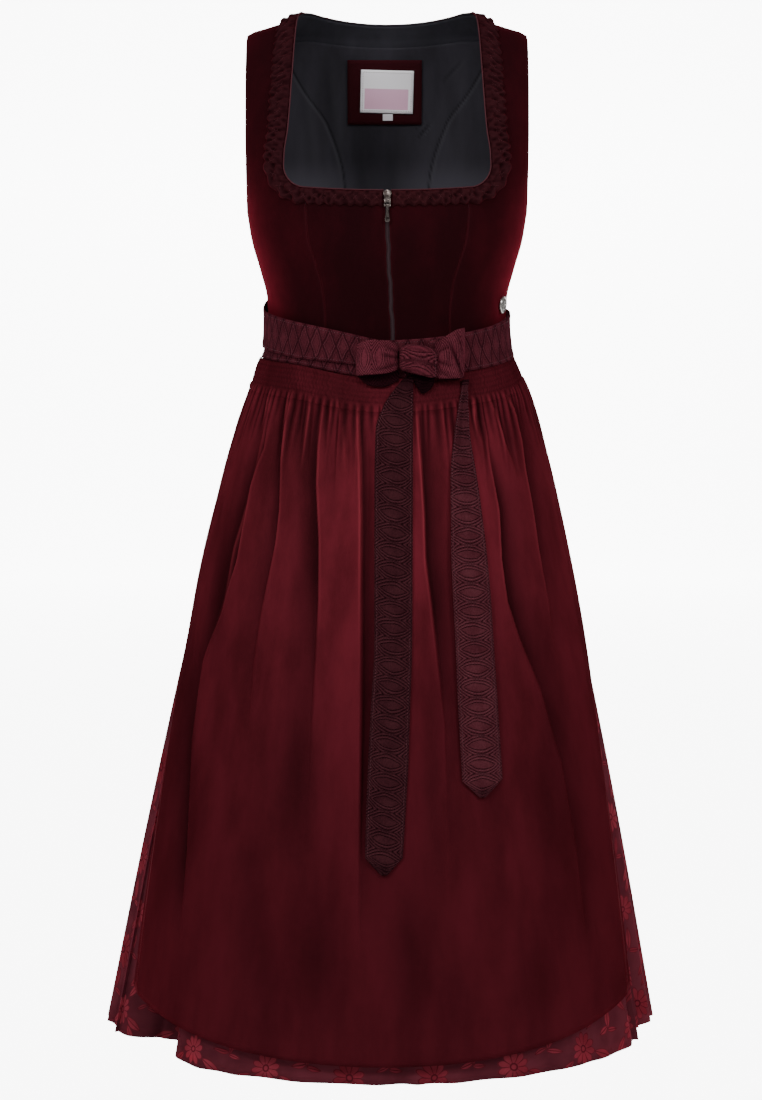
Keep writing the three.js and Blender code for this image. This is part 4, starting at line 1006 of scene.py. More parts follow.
# Painted shade along the lining's seams and creases, and a painted highlight beside them.
hollow = np.clip(0.7 * bell(from_seam, 1.25) + 0.4 * folded, 0, 0.85)
crest = bell(from_seam - 3, 1.8) * 0.3 + 0.2 * creased(x - 4, height, CREASES)
outer = off_form(angle, height, -LINING_DEPTH)
inner = off_form(angle, height, -LINING_DEPTH - LINING_THICK - np.maximum(-0.4, -relief))
piece = shell("lining_back_cloth", outer, inner, grain(outer), [LINING], hollow=hollow, crest=crest)
cut(place(piece, "lining", "lining_back"), outer, "hung")
facing_z = levels(-25, 7, 2)
edge = back_seam_angle(facing_z)
angle, height = panel_places(facing_z, 60, edge, 360 - edge, back_neck_lift)
outer, inner = [off_form(angle, height, -VELVET_THICK - 0.8 - more) for more in (0, LINING_THICK)]
piece = shell("neck_facing_cloth", outer, inner, grain(outer), [FACING])
cut(place(piece, "lining", "neck_facing"), outer, "hung")
print("lining creases:", len(CREASES["x0"]))

# %% Label patch, label and tab
LABEL_DEPTH = LINING_DEPTH + 1.6


def inside_back(x, z, width, height, turn, depth, thickness, curl):
    """A small sheet laid on the inside of the back, turned by an angle and curled at its rim."""
    across, up = np.meshgrid(np.linspace(-0.5, 0.5, 25) * width, np.linspace(-0.5, 0.5, 19) * height)
    c, s = np.cos(np.radians(turn)), np.sin(np.radians(turn))
    level = z + across * s + up * c
    angle = back_angle(x + across * c - up * s, level)
    lift = curl * (ripple(across / 9, up / 9, 4) + (across / width) ** 2 + (up / height) ** 2)
    uv = np.stack([across + width / 2, up + height / 2], -1)
    return off_form(angle, level, -depth), off_form(angle, level, -depth - thickness - lift), uv


LABELS = {
    "label_patch": ((-2.5, -72, 81, 69, 0, LABEL_DEPTH, 1.2, 0.35), PATCH, "velvet"),
    "label": ((0, -71, 58, 46, -1.5, LABEL_DEPTH + 1.9, 0.6, 0.3), LABEL, "label"),
    "size_tab": ((1, -98.5, 11, 7, 0, LABEL_DEPTH + 1.7, 0.6, 0.1), TAB, "label"),
}
for node, (sizes, finish, slot) in LABELS.items():
    outer, inner, uv = inside_back(*sizes)
    piece = place(shell(node + "_cloth", outer, inner, uv, [finish]), slot, node)
    cut(piece, inner, "folded" if node == "size_tab" else "laid")
    if node != "size_tab":
        inset = inner[1:-1, 1:-1]
        rim = np.concatenate([inset[0], inset[1:, -1], inset[-1, -2::-1], inset[-2::-1, 0]])
        toward = np.tile([0.0, -1.0, 0.0], (len(rim), 1))
        material = DARK_THREAD if node == "label_patch" else EDGE_THREAD
        place(stitched(node + "_stitches", rim, toward, material, spacing=2.6, length=1.8, width=0.45),
              slot)
print("inside the back:", ", ".join(LABELS))

# %% [markdown]
# ## The zip
# The zip is closed, and leans a little with the cloth round it. Between the two tapes runs its coil,
# made with the stitching tree: one short turn of wire after another, set across the line. The slider
# and its pull keep the solid's shape; a small bevel on a merged copy gives their edges the light that
# cast metal has. The pull rides on a body of its own, because it swings.

# %% Tapes, coil, slider and pull
TAPE_DEPTHS = (2.1, 3.0)
zip_z = levels(WAIST_SIDE_Z, NECK_BOTTOM, 5)
angle, height = panel_places(zip_z, 8, front_angle(0.3, zip_z), front_angle(10, zip_z))
outer, inner = [off_form(angle, height, -depth) for depth in TAPE_DEPTHS]
for side, turn in SIDES:
    piece = shell(f"zip_tape_{side}_cloth", leaned(turn(outer)), leaned(turn(inner)), grain(outer), [TAPE])
    cut(place(piece, "tape", f"zip_tape_{side}"), outer, "hung")
coil_z = np.linspace(-361, -192, 90)
coil = stitched("zip_coil", leaned(off_form(0, coil_z, -1.6)), form_normal(0, coil_z), TAPE,
                spacing=1.05, length=3.6, width=0.8, height=1.3, turn=np.pi / 2)
place(coil, "tape")


def bevelled(node, name, width, material):
    """The solid's own shape with rounded edges, as cast metal has them."""
    piece = linked(name, frame["nodes"][node].data.copy())
    weld = piece.modifiers.new("weld", "WELD")
    weld.merge_threshold = 1e-5
    bevel = piece.modifiers.new("bevel", "BEVEL")
    bevel.width, bevel.segments, bevel.limit_method = width * MM, 2, "ANGLE"
    graph = bpy.context.evaluated_depsgraph_get()
    result = bpy.data.meshes.new_from_object(piece.evaluated_get(graph), depsgraph=graph)
    for modifier in (weld, bevel):
        piece.modifiers.remove(modifier)
    piece.data = result
    result.materials.clear()
    result.materials.append(material)
    result.polygons.foreach_set("use_smooth", np.ones(len(result.polygons), bool))
    result.set_sharp_from_angle(angle=0.7)
    return piece


place(bevelled("zip_slider", "zip_slider_metal", 0.3, SLIDER_SILVER), "silver", "zip_slider")
place(bevelled("zip_pull", "zip_pull_metal", 0.22, SLIDER_SILVER), "silver", "zip_pull",
      body="zip_pull_body")
print("coil turns:", len(coil.data.polygons) // 40)

# %% [markdown]
# ## The side button
# A small cast button with a plain rim and a simple flower in relief. A flower in polar coordinates is
# the easiest relief there is: the height swells with the cosine of the angle.

# %% Button
def flower_button(x, z, radius):
    """Rings from the middle to the rim, raised over the form at a place in front."""
    r, t = np.meshgrid(np.linspace(0, 1, 26), np.linspace(0, 2 * np.pi, 73)[:-1], indexing="ij")
    petals = bell(r - 0.46, 0.2) * (0.35 + 0.65 * np.abs(np.cos(2.5 * t)) ** 0.7)
    rise = 1.5 + 0.9 * petals + 0.9 * bell(r, 0.13) + 0.75 * bell(r - 0.9, 0.07)
    rise = rise * np.where(r > 0.97, np.sqrt(np.clip(1 - ((r - 0.97) / 0.03) ** 2, 0, 1)) * 0.6 + 0.4, 1)
    angle = front_angle(x, z)
    out = form_normal(angle, z)
    side = unit(np.cross([0, 0, 1], out))
    up = np.cross(out, side)
    seat = off_form(angle, z, 0.6)

    def spot(height):
        plane = (radius * r * np.cos(t))[..., None] * side + (radius * r * np.sin(t))[..., None] * up
        return seat + plane + height[..., None] * out

    top, under = spot(rise), spot(0 * rise)
    top, under = [np.concatenate([g, g[:, :1]], 1) for g in (top, under)]
    return shell("side_button_metal", top, under, np.zeros(top.shape[:2] + (2,)), [BUTTON_SILVER])


button = flower_button(x=120.5, z=-297.0, radius=9.0)
place(button, "silver", "side_button")
print("button faces:", len(button.data.polygons))

# %% [markdown]
# ## The ruched neck trim
# A velvet strip is drawn up by crossed stitches into a row of puffs. We sweep a cross-section along
# the neck edge and let its height and width swell and sink with every puff. Two leaning ridges cross
# in each puff, lumps break them up, and its rims rise in turn. The two threads of each cross lie on
# the strip's surface in the middle of the puff. A thin piping closes the neck edge inside the strip.

# %% Neck path
TRIM_PUFFS, PUFF_RINGS = 28, 16
TRIM_START, TRIM_END = 5.2, 5.8
RUCHE_WIDTH = table("along width", [(0, 16.5), (0.24, 17), (0.42, 21), (0.8, 22.5), (1, 21)])
SHOULDER = table("x z", [(row[1], row[0]) for row in zip(FORM["z"], FORM["left"]) if row[0] >= -70])


def neck_path(start):
    """Half of the neck edge as x, z and the way out of the opening, from the zip to the shoulder."""
    at = np.linspace(start, CORNER_X, 40, endpoint=False)
    bottom = np.stack([at, NECK_BOTTOM + 3 * (at / CORNER_X) ** 2, 0 * at, 0 * at - 1], -1)
    turn = np.radians(np.linspace(-90, 0, 24, endpoint=False))
    corner = np.stack([CORNER_X + CORNER_R * np.cos(turn), CORNER_Z + CORNER_R * np.sin(turn), np.cos(turn),
                       np.sin(turn)], -1)
    z = mix(CORNER_Z, TRIM_END, 1 - (1 - np.linspace(0, 1, 120)) ** 1.5)
    side = np.stack([curve(NECK_SIDE, "x", z), z, 0 * z + 1, 0 * z], -1)
    return np.concatenate([bottom, corner, side])


def resampled(path, count):
    """The path in even steps on the form, and how far along each step is."""
    points = form(front_angle(path[:, 0], path[:, 1]), path[:, 1])
    run = np.concatenate([[0], np.cumsum(np.linalg.norm(np.diff(points, axis=0), axis=1))])
    at = np.linspace(0, run[-1], count)
    return np.stack([np.interp(at, run, path[:, k]) for k in range(4)], -1), at / run[-1]


def on_neck(rows, away, rise):
    """A point beside the neck edge: rows of the path, distance away from the opening, height."""
    x = rows[..., 0] + rows[..., 2] * away
    slant = curve(SHOULDER, "z", x, "x") - curve(SHOULDER, "z", rows[..., 0], "x")
    z = rows[..., 1] + rows[..., 3] * away + slant * ramp(rows[..., 1], CORNER_Z, -20)
    angle = np.minimum(front_angle(x, z), seam_reach(z, True, 0.4))
    return off_form(angle, z, rise), form_normal(angle, z)


# %% Ruched strip and its crosses
def ruche_profile(count, rings):
    """Distance away from the neck edge and height over the cloth, ring by ring, and the painted shade
    between puffs.
    """
    rows, along = resampled(neck_path(TRIM_START), count * rings + 1)
    step = (np.arange(len(along)) / rings)[:, None]
    pick = np.random.default_rng(11)
    size = np.interp(step, np.arange(count + 2), 1 + 0.22 * pick.uniform(-1, 1, count + 2))
    width = curve(RUCHE_WIDTH, "width", along, "along")[:, None]
    t = np.linspace(0, 1, 27)[None]
    lean = (step % 1) - 0.5
    stray = 0.28 * ripple(step * 3.1, t * 5, 8)
    ridges = [bell(lean * side * 0.8 - (t - 0.5) + stray, 0.2) for side in (-1, 1)]
    lumps = 0.5 + 0.5 * ripple(step * 8, t * 13, 6)
    rim = bell(t, 0.16) + bell(1 - t, 0.16)
    rim = rim * (0.6 + 0.4 * np.cos(2 * np.pi * (step + 0.3 * np.sin(step * 2.1))))
    puff = np.clip(np.maximum(*ridges) * (0.25 + 0.55 * lumps) + (rim * 0.35 + 0.4) * lumps, 0, 1)
    arch = np.clip(1 - np.abs(2 * t - 1) ** 5, 0, 1)
    scallop = 1.1 * np.cos(2 * np.pi * step) * size
    pinch = 0.5 + 0.4 * np.cos(2 * np.pi * step)
    away = mix(pinch + 0 * t, width - 1.2 + scallop, t)
    rise = 1.1 + (0.9 + 3.0 * puff * size + 0.5 * lumps) * arch
    # Last, painted shade between the puffs, darkest where the puff is low.
    return rows, away, rise, np.clip(0.7 - 1.1 * puff, 0, 0.6)


rows, away, rise, puff_shade = ruche_profile(TRIM_PUFFS, PUFF_RINGS)
rows = np.repeat(rows[:, None], away.shape[1], 1)
top, normal = on_neck(rows, away, rise)
under, _ = on_neck(rows, away, 0.7)
crosses = []
t = np.linspace(-1, 1, 9)
for i in range(PUFF_RINGS // 2, len(top) - PUFF_RINGS // 2, PUFF_RINGS):
    for lean in (-1, 1):
        j = (i + lean * t * 2).round().astype(int)
        k = ((0.5 + 0.13 * t) * (top.shape[1] - 1)).round().astype(int)
        crosses.append((top[j, k] + normal[j, k] * 0.3, normal[j, k]))
for side, turn in SIDES:
    piece = shell(f"neck_ruche_{side}_velvet", turn(top), turn(under), grain(top), [RUCHE], hollow=puff_shade)
    cut(place(piece, "ruche", f"neck_ruche_{side}"), top, "gathered")
    threads = [stitched(f"cross_{side}_{i}", turn(line), turn(above), CROSS_THREAD, spacing=1.6,
                        length=1.5, width=0.45) for i, (line, above) in enumerate(crosses)]
    with bpy.context.temp_override(active_object=threads[0], selected_editable_objects=threads):
        bpy.ops.object.join()
    threads[0].name = f"neck_crosses_{side}"
    place(threads[0], "ruche")


def cord(name, line, above, radius, material, corners=8):
    """A round cord along a line, with closed ends."""
    run = unit(np.gradient(line, axis=0))
    side = unit(np.cross(run, above))
    up = np.cross(side, run)
    turn = np.linspace(0, 2 * np.pi, corners + 1)[:-1, None]
    rings = line[:, None] + radius * (np.cos(turn) * side[:, None] + np.sin(turn) * up[:, None])
    uv = np.stack(np.broadcast_arrays(np.arange(float(corners)), np.arange(float(len(line)))[:, None]), -1)
    return closed_body(name, rings, line[[0, -1]], uv, material)


edge_rows, _ = resampled(neck_path(3.6), 150)
line, above = on_neck(edge_rows, -0.6, 0.2)
for side, turn in SIDES:
    place(cord(f"neck_piping_{side}", turn(line), turn(above), radius=0.65, material=PIPING), "ribbon")
print("ruche rings:", len(top), "crosses:", len(crosses))

# %% [markdown]
# ## The skirt
# The skirt is gathered into the waist seam. In the solid model its gathers stand inside the form with
# their crests on it, and here they do the same with a rounder profile. Each stretch of a width names
# its first and last angle, its number of gathers and their depth. Larger folds swing in towards the
# hem, one deep one in front on the wearer's right.

# %% Skirt cloth
GATHER_GROWTH = table("down share", [(0, 0.02), (0.03, 0.3), (0.15, 0.5), (0.5, 0.8), (1, 1)])
SKIRT_FOLDS = table("angle width depth starts", [
    (-59, 9, 50, 0.5), (76, 6, 14, 0.4), (118, 7, 18, 0.3), (163, 8, 16, 0.35), (205, 7, 18, 0.3),
    (247, 8, 20, 0.35)])
SKIRT_WIDTHS = {"skirt_front": (0, [(-90, -62, 4, 9), (-62, 62, 11, 5), (62, 90, 4, 9)]),
                "skirt_back": (180, [(-90, 90, 24, 12)])}
SKIRT_ROWS, GATHER_COLUMNS = 70, 14
SKIRT_THICK = 1.5


def skirt_fold(angle, down):
    """How far the large folds draw the skirt in."""
    depth = 0 * angle
    for at, width, deep, starts in zip(*SKIRT_FOLDS.values()):
        away = ((angle - at + 540) % 360 - 180) / width
        depth = depth + deep * np.exp(-away * away) * ramp(down, starts, 1)
    return depth


def skirt_grid(stretches, middle, out):
    """Cloth of one skirt width, and its painted shade; each gather takes a number of columns."""
    turn, depth, phase = [], [], []
    for start, end, gathers, deep in stretches:
        i = np.arange(gathers * GATHER_COLUMNS) * 3 / GATHER_COLUMNS
        share = i / (gathers * 3)
        sway = 0.3 * np.sin(share * 17) * np.sin(share * np.pi)
        turn.append(mix(start, end, share) + sway * (end - start) / gathers)
        depth.append(deep * (0.75 + 0.35 * np.sin(i * 1.9 / 3) * np.sin(i * 0.31)))
        phase.append(i / 3)
    turn, depth, phase = [np.concatenate(part) for part in (turn, depth, phase)]
    _, end, _, deep = stretches[-1]
    turn, depth, phase = np.append(turn, end), np.append(depth, deep), np.append(phase, 0)
    down = np.linspace(0, 1, SKIRT_ROWS)[:, None] ** 1.15
    reach = seam_reach(mix(WAIST_SIDE_Z, HEM_Z, down), middle == 0, HALF_GAP)
    angle = middle + turn[None] / 90 * reach
    z = mix(waist_z(angle) - 1, HEM_Z, down)
    gathered = np.sin(np.pi * phase)[None] ** 2
    soft = 1 + 0.35 * ripple(angle / 9, down * 5, 21)
    gather = depth[None] * gathered ** 0.8 * curve(GATHER_GROWTH, "share", down, "down") * soft
    sway = 2.2 * ripple(angle / 14, down * 3, 9) * down
    edge = ramp(90 - np.abs(turn), 0, 3)[None]
    fold = skirt_fold(angle, down)
    # Painted shade in the deep gathers and in the large folds.
    hollow = np.clip((gather - 3) / 14, 0, 0.4) + np.clip(fold / 70, 0, 0.4)
    grid = off_level(angle, z, out - np.maximum(0, gather + sway * 0.6) * edge - fold)
    return grid, np.minimum(hollow, 0.95)


for name, (middle, stretches) in SKIRT_WIDTHS.items():
    (outer, hollow), (inner, _) = [skirt_grid(stretches, middle, out) for out in (0, -SKIRT_THICK)]
    piece = shell(name + "_cloth", outer, inner, gathered_grain(outer), [JACQUARD], hollow=hollow)
    cut(place(piece, "jacquard", name), outer, "gathered")
    print(name, "faces:", len(piece.data.polygons))

# %% [markdown]
# ## The apron
# Under its waistband the apron is shirred: rows of stitching draw it up into tiny puckers. Below, the
# cloth falls in folds. A fold of gathered satin has one sharp side and one slow side: the cloth drops
# away at an edge and comes back slowly. So each fold is written as its edge, a line down the cloth
# with the drop and the width of the hollow beside it at each height, and the side that it drops to.
# Painted shade is kept on the mesh too, darkening the folds, and a painted highlight lightens their
# edges. Softer hollows with a little painted shade, and painted shadows under the bow, are spots from
# two short tables.

# %% Fold edges of the apron: side of the hollow, then x, z, drop and width down the edge
FOLD_EDGES = [
    (-1, [(-121, -380, 2, 5), (-128, -431, 3, 6), (-136, -467, 3, 6), (-145, -503, 4, 8),
          (-157, -547, 5, 10), (-167, -602, 4, 12), (-185, -665, 1, 14)]),
    (-1, [(-119, -395, 0.5, 5), (-125, -443, 4, 7), (-132, -462, 5, 8), (-138, -482, 6, 9),
          (-147, -534, 7, 10), (-151, -559, 7, 11), (-167, -612, 5, 12), (-185, -663, 5, 12),
          (-199, -748, 5, 10), (-202, -859, 6, 9), (-206, -914, 2, 8), (-208, -950, 0, 8)]),
    (-1, [(-102, -386, 4, 5), (-105, -424, 7, 8), (-108, -454, 6, 10), (-109, -505, 6, 11),
          (-112, -536, 6, 12), (-115, -553, 5, 13), (-125, -606, 3, 14), (-132, -657, 2, 16),
          (-138, -730, 0, 18)]),
    (-1, [(-65, -388, 2, 6), (-69, -414, 5, 10), (-71, -440, 7, 15), (-72, -478, 8, 18), (-69, -534, 8, 20),
          (-69, -593, 6, 24), (-71, -643, 4, 26), (-75, -713, 2, 26), (-78, -800, 0, 26)]),
    (1, [(-29, -390, 3, 4), (-27, -427, 7, 7), (-26, -452, 8, 10), (-25, -508, 9, 13),
         (-25, -551, 9, 14), (-25, -611, 8, 20), (-25, -691, 8, 22), (-26, -771, 7, 22),
         (-27, -841, 4, 24), (-28, -950, 0, 24)]),
    (1, [(30, -386, 2, 5), (31, -397, 5, 7), (33, -427, 8, 10), (35, -452, 9, 14), (38, -508, 9, 22),
         (39, -552, 8, 24), (44, -592, 7, 26), (52, -665, 5, 26), (57, -712, 3, 26), (59, -772, 2, 26),
         (60, -860, 0, 26)]),
    (1, [(100, -377, 2, 5), (102, -383, 4, 6), (113, -410, 5, 8), (119, -435, 5, 9), (125, -453, 2, 10),
         (133, -477, 0, 10)]),
    (1, [(116, -374, 2, 5), (125, -393, 5, 6), (132, -408, 6, 8), (138, -438, 6, 9), (141, -469, 6, 10),
         (148, -509, 5, 12), (153, -547, 4, 13), (162, -601, 2, 14), (170, -660, 0, 14)]),
    (1, [(101, -434, 1, 8), (105, -460, 5, 10), (113, -505, 8, 14), (115, -556, 8, 20),
         (120, -596, 7, 22), (133, -638, 6, 24), (154, -690, 4, 24), (175, -764, 3, 24),
         (190, -857, 2, 24), (200, -940, 1, 24)]),
    (-1, [(-76, -384, 4, 5), (-80, -393, 6, 7), (-84, -423, 5, 8), (-87, -448, 2, 9), (-88, -463, 0, 9)]),
    (1, [(-50, -384, 4, 4), (-48, -397, 5, 4), (-46, -412, 0, 4)]),
    (1, [(-43, -415, 1, 3), (-41, -442, 3, 4), (-39, -470, 0, 4)]),
    (1, [(88, -378, 5, 5), (89, -393, 8, 8), (90, -411, 7, 8), (93, -433, 0, 8)]),
    (1, [(-95, -382, 4, 4), (-97, -400, 3, 4), (-99, -415, 0, 4)]),
    (-1, [(-58, -386, 4, 4), (-59, -400, 3, 4), (-60, -420, 0, 4)]),
    (1, [(-12, -390, 3, 4), (-11, -410, 2, 4), (-11, -430, 0, 4)]),
    (1, [(8, -392, 3, 4), (9, -410, 2, 5), (10, -440, 0, 5)]),
    (1, [(56, -386, 4, 4), (58, -404, 4, 6), (60, -430, 0, 6)]),
    (1, [(72, -383, 3, 4), (75, -400, 2, 5), (78, -425, 0, 5)]),
]
SOFT_HOLLOWS = table("x z wide long drop", [
    (-90, -768, 24, 70, 3), (45, -770, 12, 110, 3), (-67, -941, 20, 60, 3), (22, -944, 20, 75, 3),
    (162, -757, 16, 100, 2), (-169, -584, 8, 75, 3), (-200, -728, 9, 120, 3), (-119, -995, 14, 50, 2),
    (67, -990, 18, 50, 2), (-58, -470, 8, 60, 2), (-135, -900, 16, 80, 2), (104, -700, 10, 110, 2)])
# Painted shadows that the bow casts on the shirring below it.
BOW_SHADOWS = table("x z wide long dark", [
    (48, -377, 24, 8, 0.8), (-8, -375, 17, 6, 0.6), (24, -392, 10, 10, 0.5)])
DEEPEST = 8.0


def apron_relief(x, z):
    """How far the cloth drops below its crests, its painted shade and its painted highlight beside the fold
    edges, 0 to 1.
    """
    level, hollow, crest = 1 + 0 * x, 1 + 0 * x, 0 * x
    for side, rows in FOLD_EDGES:
        at, down, drop, width = [np.array(column, float) for column in zip(*rows)]
        beyond = (x - np.interp(-z, -down, at)) * side
        drop = np.interp(-z, -down, drop, left=0, right=0) / DEEPEST
        width = np.interp(-z, -down, width)
        fade = np.exp(-(np.maximum(beyond, 0) / width) ** 1.4)
        level = level * (1 - np.minimum(0.97, drop) * ramp(beyond, -1.8, 0.8) * fade)
        # Painted shade in the hollow beside each fold edge.
        hollow = hollow * (1 - np.minimum(0.85, drop) * ramp(beyond, -0.9, 1.2) * fade)
        # A painted highlight as a thin line just beside each fold edge.
        line = bell(beyond + 1.9, 1.3) * (1 - ramp(-z, 500, 690))
        crest = np.maximum(crest, drop * line)
    # Soft dips take a little painted shade; the bow's painted shadows only darken.
    for spots, drops, darkens in ((SOFT_HOLLOWS, 1, 0.13), (BOW_SHADOWS, 0, 1)):
        for at, down, wide, long, amount in zip(*spots.values()):
            soft = amount * np.exp(-((x - at) / wide) ** 2 - ((z - down) / long) ** 2)
            level = level * (1 - drops * soft / DEEPEST)
            hollow = hollow * (1 - darkens * soft)
    return (1 - level) * DEEPEST, 1 - hollow, crest


# %% Apron cloth
BAND_FOOT = table("angle z", [(-92, -353), (-45, -357), (0, -370), (40, -362), (92, -346)])
APRON_SHAPE = table("down edge off gather fold", [
    (0, 88, 1.1, 0.5, 0), (0.04, 87.5, 1.2, 0.9, 0), (0.065, 87, 1.3, 3, 0.5), (0.12, 86, 1.5, 2.6, 3),
    (0.23, 84, 1.6, 1.2, 5.5), (0.42, 78.5, 2.2, 0.4, 7.5), (0.68, 70, 2.6, 0, 7.5), (1, 64, 2.8, 0, 5)])
APRON_THICK, APRON_COLUMNS = 1.4, 460
SHIRRED, STITCH_ROWS = 0.036, 5
GATHERS, APRON_SPLIT = 58, 0.05
HEM_MIDDLE, HEM_RISE = -1055, 44


def puckers(across, down):
    """Shirring: uneven tiny folds between the rows of stitching, then short gathers under them, with
    painted shade in both.
    """
    pick = np.random.default_rng(4)
    middles = np.linspace(-1, 1, GATHERS) + pick.uniform(-0.45, 0.45, GATHERS) * 2 / GATHERS
    phase = np.interp(across, middles, np.arange(GATHERS))
    lobe = 0.5 + 0.5 * np.cos(2 * np.pi * phase)
    strayed = phase * 2 + 0.3 * np.sin(phase * 2) + 0.25 * np.sin(down * 400 + phase)
    fine = 0.5 + 0.5 * np.cos(2 * np.pi * strayed)
    tall, reach = [np.interp(across, middles, pick.uniform(low, 1, GATHERS)) for low in (0.2, 0.0)]
    rows = np.abs(np.sin(down / SHIRRED * STITCH_ROWS * np.pi)) ** 0.6
    stitched_part = 1 - ramp(down, SHIRRED, SHIRRED + 0.004)
    shirring = (0.3 + 0.7 * fine) * (0.4 + 0.6 * rows) * stitched_part
    fades = 1 - ramp(down, 0.042 + 0.03 * reach, 0.056 + 0.14 * reach)
    under = ramp(down, SHIRRED, SHIRRED + 0.008) * fades
    # Painted shade in the short gathers, between the puckers and along the rows.
    dark = (1 - lobe) ** 1.3 * under * (0.5 + 0.5 * tall) * 0.95
    dark = dark + (1 - fine) * shirring * 0.6 + (1 - rows) * 0.3 * stitched_part
    return shirring * 1.1 + lobe * tall * under * 2.6, dark


def apron_grid(down, inset):
    """Cloth of the apron from share to share of its length, its painted shade, and its painted highlight.
    """
    across = np.linspace(-1, 1, APRON_COLUMNS + 1)[None]
    down = down[:, None]
    angle = across * curve(APRON_SHAPE, "edge", down, "down")
    foot = curve(BAND_FOOT, "z", angle, "angle")
    z = mix(foot - SEAM_GAP, HEM_MIDDLE + HEM_RISE * np.abs(across) ** 2.3, down)
    x = form(angle, z)[..., 0]
    off, gather, fold = curves(APRON_SHAPE, "off gather fold", down, "down")
    drop, hollow, crest = apron_relief(x, z)
    lift = (gather * 0.5 + fold) * (1 - 0.8 * ramp(np.abs(across), 0.93, 1))
    pucker, dark = puckers(across, down)
    soft = ripple(across * 9, down * 4, 31) * 0.7 + ripple(across * 24, down * 5, 33) * 0.5
    hem = 0.5 * bell(down - 0.962, 0.0035)
    height = np.maximum(lift - drop * ramp(down, 0.03, 0.07), 0) + pucker
    height = height + soft * ramp(down, 0.1, 0.4) - hem
    # Painted shade over the whole shirred band, and on top of that in the folds and gathers.
    shirred = 1 - ramp(down, SHIRRED, SHIRRED + 0.01)
    hollow = 1 - (1 - hollow * ramp(down, 0.03, 0.06)) * (1 - dark) * (1 - 0.35 * shirred)
    grid = off_level(angle, z, off + APRON_THICK + np.maximum(height, -0.6) - inset)
    return grid, hollow, crest * ramp(down, 0.03, 0.06)


for name, down in (("apron_shirring", np.linspace(0, APRON_SPLIT, 44)),
                   ("apron_fall", np.linspace(APRON_SPLIT, 1, 100))):
    outer, hollow, crest = apron_grid(down, 0)
    inner = apron_grid(down, APRON_THICK)[0]
    piece = shell(name, outer, inner, gathered_grain(outer), [SATIN], hollow=hollow, crest=crest)
    cut(place(piece, "satin", "apron"), outer, "gathered")
    print(name, "faces:", len(piece.data.polygons))

# %% [markdown]
# ## Waistband and ties
# The waistband closes the apron's top. Each tie leaves its end, goes round the back, crosses the other
# and comes to the bow. The tables hold the lower edge, the height and the distance out at each angle,
# and the ribbon's UV runs along its length, so the quilting turns with it. A row of paler thread runs
# along both edges.

# %% Ribbons round the waist
RIBBON_THICK = 1.2
WAISTBAND = dict(angle=BAND_FOOT["angle"], low=BAND_FOOT["z"],
                 height=RIBBON_WIDE + 0 * BAND_FOOT["z"], out=1 + 0 * BAND_FOOT["z"])
TIE_RIGHT = table("angle low height out", [
    (-92.15, -353, 39, 0.8), (-110, -359, 39, 0.9), (-127.5, -371, 39, 0.9), (-135, -372, 39, 1.2),
    (-142.5, -370, 39, 1.9), (-150, -364, 39, 2.8), (-180, -345, 39, 2.8), (-225, -338, 39, 3.2),
    (-270, -350, 43, 3.6), (-310, -360, 40, 4.1), (-333, -365, 38, 4.4), (-343, -364, 32, 4.6)])
TIE_LEFT = table("angle low height out", [
    (92.15, -346, 39, 0.8), (135, -349, 39, 0.8), (180, -344, 39, 0.8), (210, -330, 39, 0.8),
    (217.5, -325, 39, 0.9), (225, -322, 39, 1.4), (232.5, -322, 39, 2.3), (240, -325, 39, 3.2),
    (270, -340, 39, 3.8), (315, -350, 37, 3.8), (342, -355, 32, 3.9), (362, -360, 27, 4)])


def ribbon_uv(grid):
    """Along the ribbon, and across it counted from its middle line."""
    along, across = lengths(grid)
    middle = along[along.shape[0] // 2]
    share = across / across[-1:]
    return np.stack([np.broadcast_to(middle, along.shape), (share - 0.5) * RIBBON_WIDE], -1)


def waist_ribbon(rows, seed):
    """Outer and inner grid of a ribbon round the waist, with a slightly uneven edge and a soft cup."""
    start, end = rows["angle"][0], rows["angle"][-1]
    angle = np.linspace(start, end, int(abs(end - start) / 1.2) + 2)[None]
    up = np.linspace(0, 1, 15)[:, None]
    low, height, out = curves(rows, "low height out", angle, "angle")
    edge = ripple(angle / 6, 0 * angle, seed) * 0.5
    cup = 0.5 * np.sin(np.pi * up) + 0.35 * ripple(angle / 7, up * 3, seed + 1) * np.sin(np.pi * up)
    z = low + edge + up * height
    return [off_level(angle, z, out + RIBBON_THICK + cup - inset) for inset in (0, RIBBON_THICK)]


def ribbon_piece(name, outer, inner, node, finish, **kept):
    piece = shell(name, outer, inner, ribbon_uv(outer), [finish], **kept)
    cut(place(piece, "ribbon", node), outer, "laid")


def edge_stitches(name, line, away, **sizes):
    """Thread along an edge, raised a little over the ribbon."""
    place(stitched(name, line + away * 0.15, away, EDGE_THREAD, **sizes), "ribbon")


for seed, (node, rows) in enumerate({"apron_waistband": WAISTBAND, "apron_tie_right": TIE_RIGHT,
                                     "apron_tie_left": TIE_LEFT}.items()):
    outer, inner = waist_ribbon(rows, seed + 40)
    ribbon_piece(node + "_ribbon", outer, inner, node, SASH)
    for edge, row in (("low", 1), ("top", -2)):
        edge_stitches(f"{node}_{edge}_edging", outer[row], unit(outer[row] - inner[row]), spacing=3.1,
                      length=1.7, width=0.6)
print("ribbons round the waist: 3")

# %% [markdown]
# ## The bow
# Ribbon in a bow keeps its width but turns in depth, so each loop is drawn as a path seen from above,
# with its own lower and upper edge at every point. Folds run out from the knot and fade along the
# loop, and sharper creases come from a table. Painted shade darkens the loop's back layer, its creases
# and the cloth next to the knot. The knot is the ribbon wound once round the middle, with curved
# creases drawn across it and its two ends closed; painted shade lies in its folds, on its back half
# and at its ends.

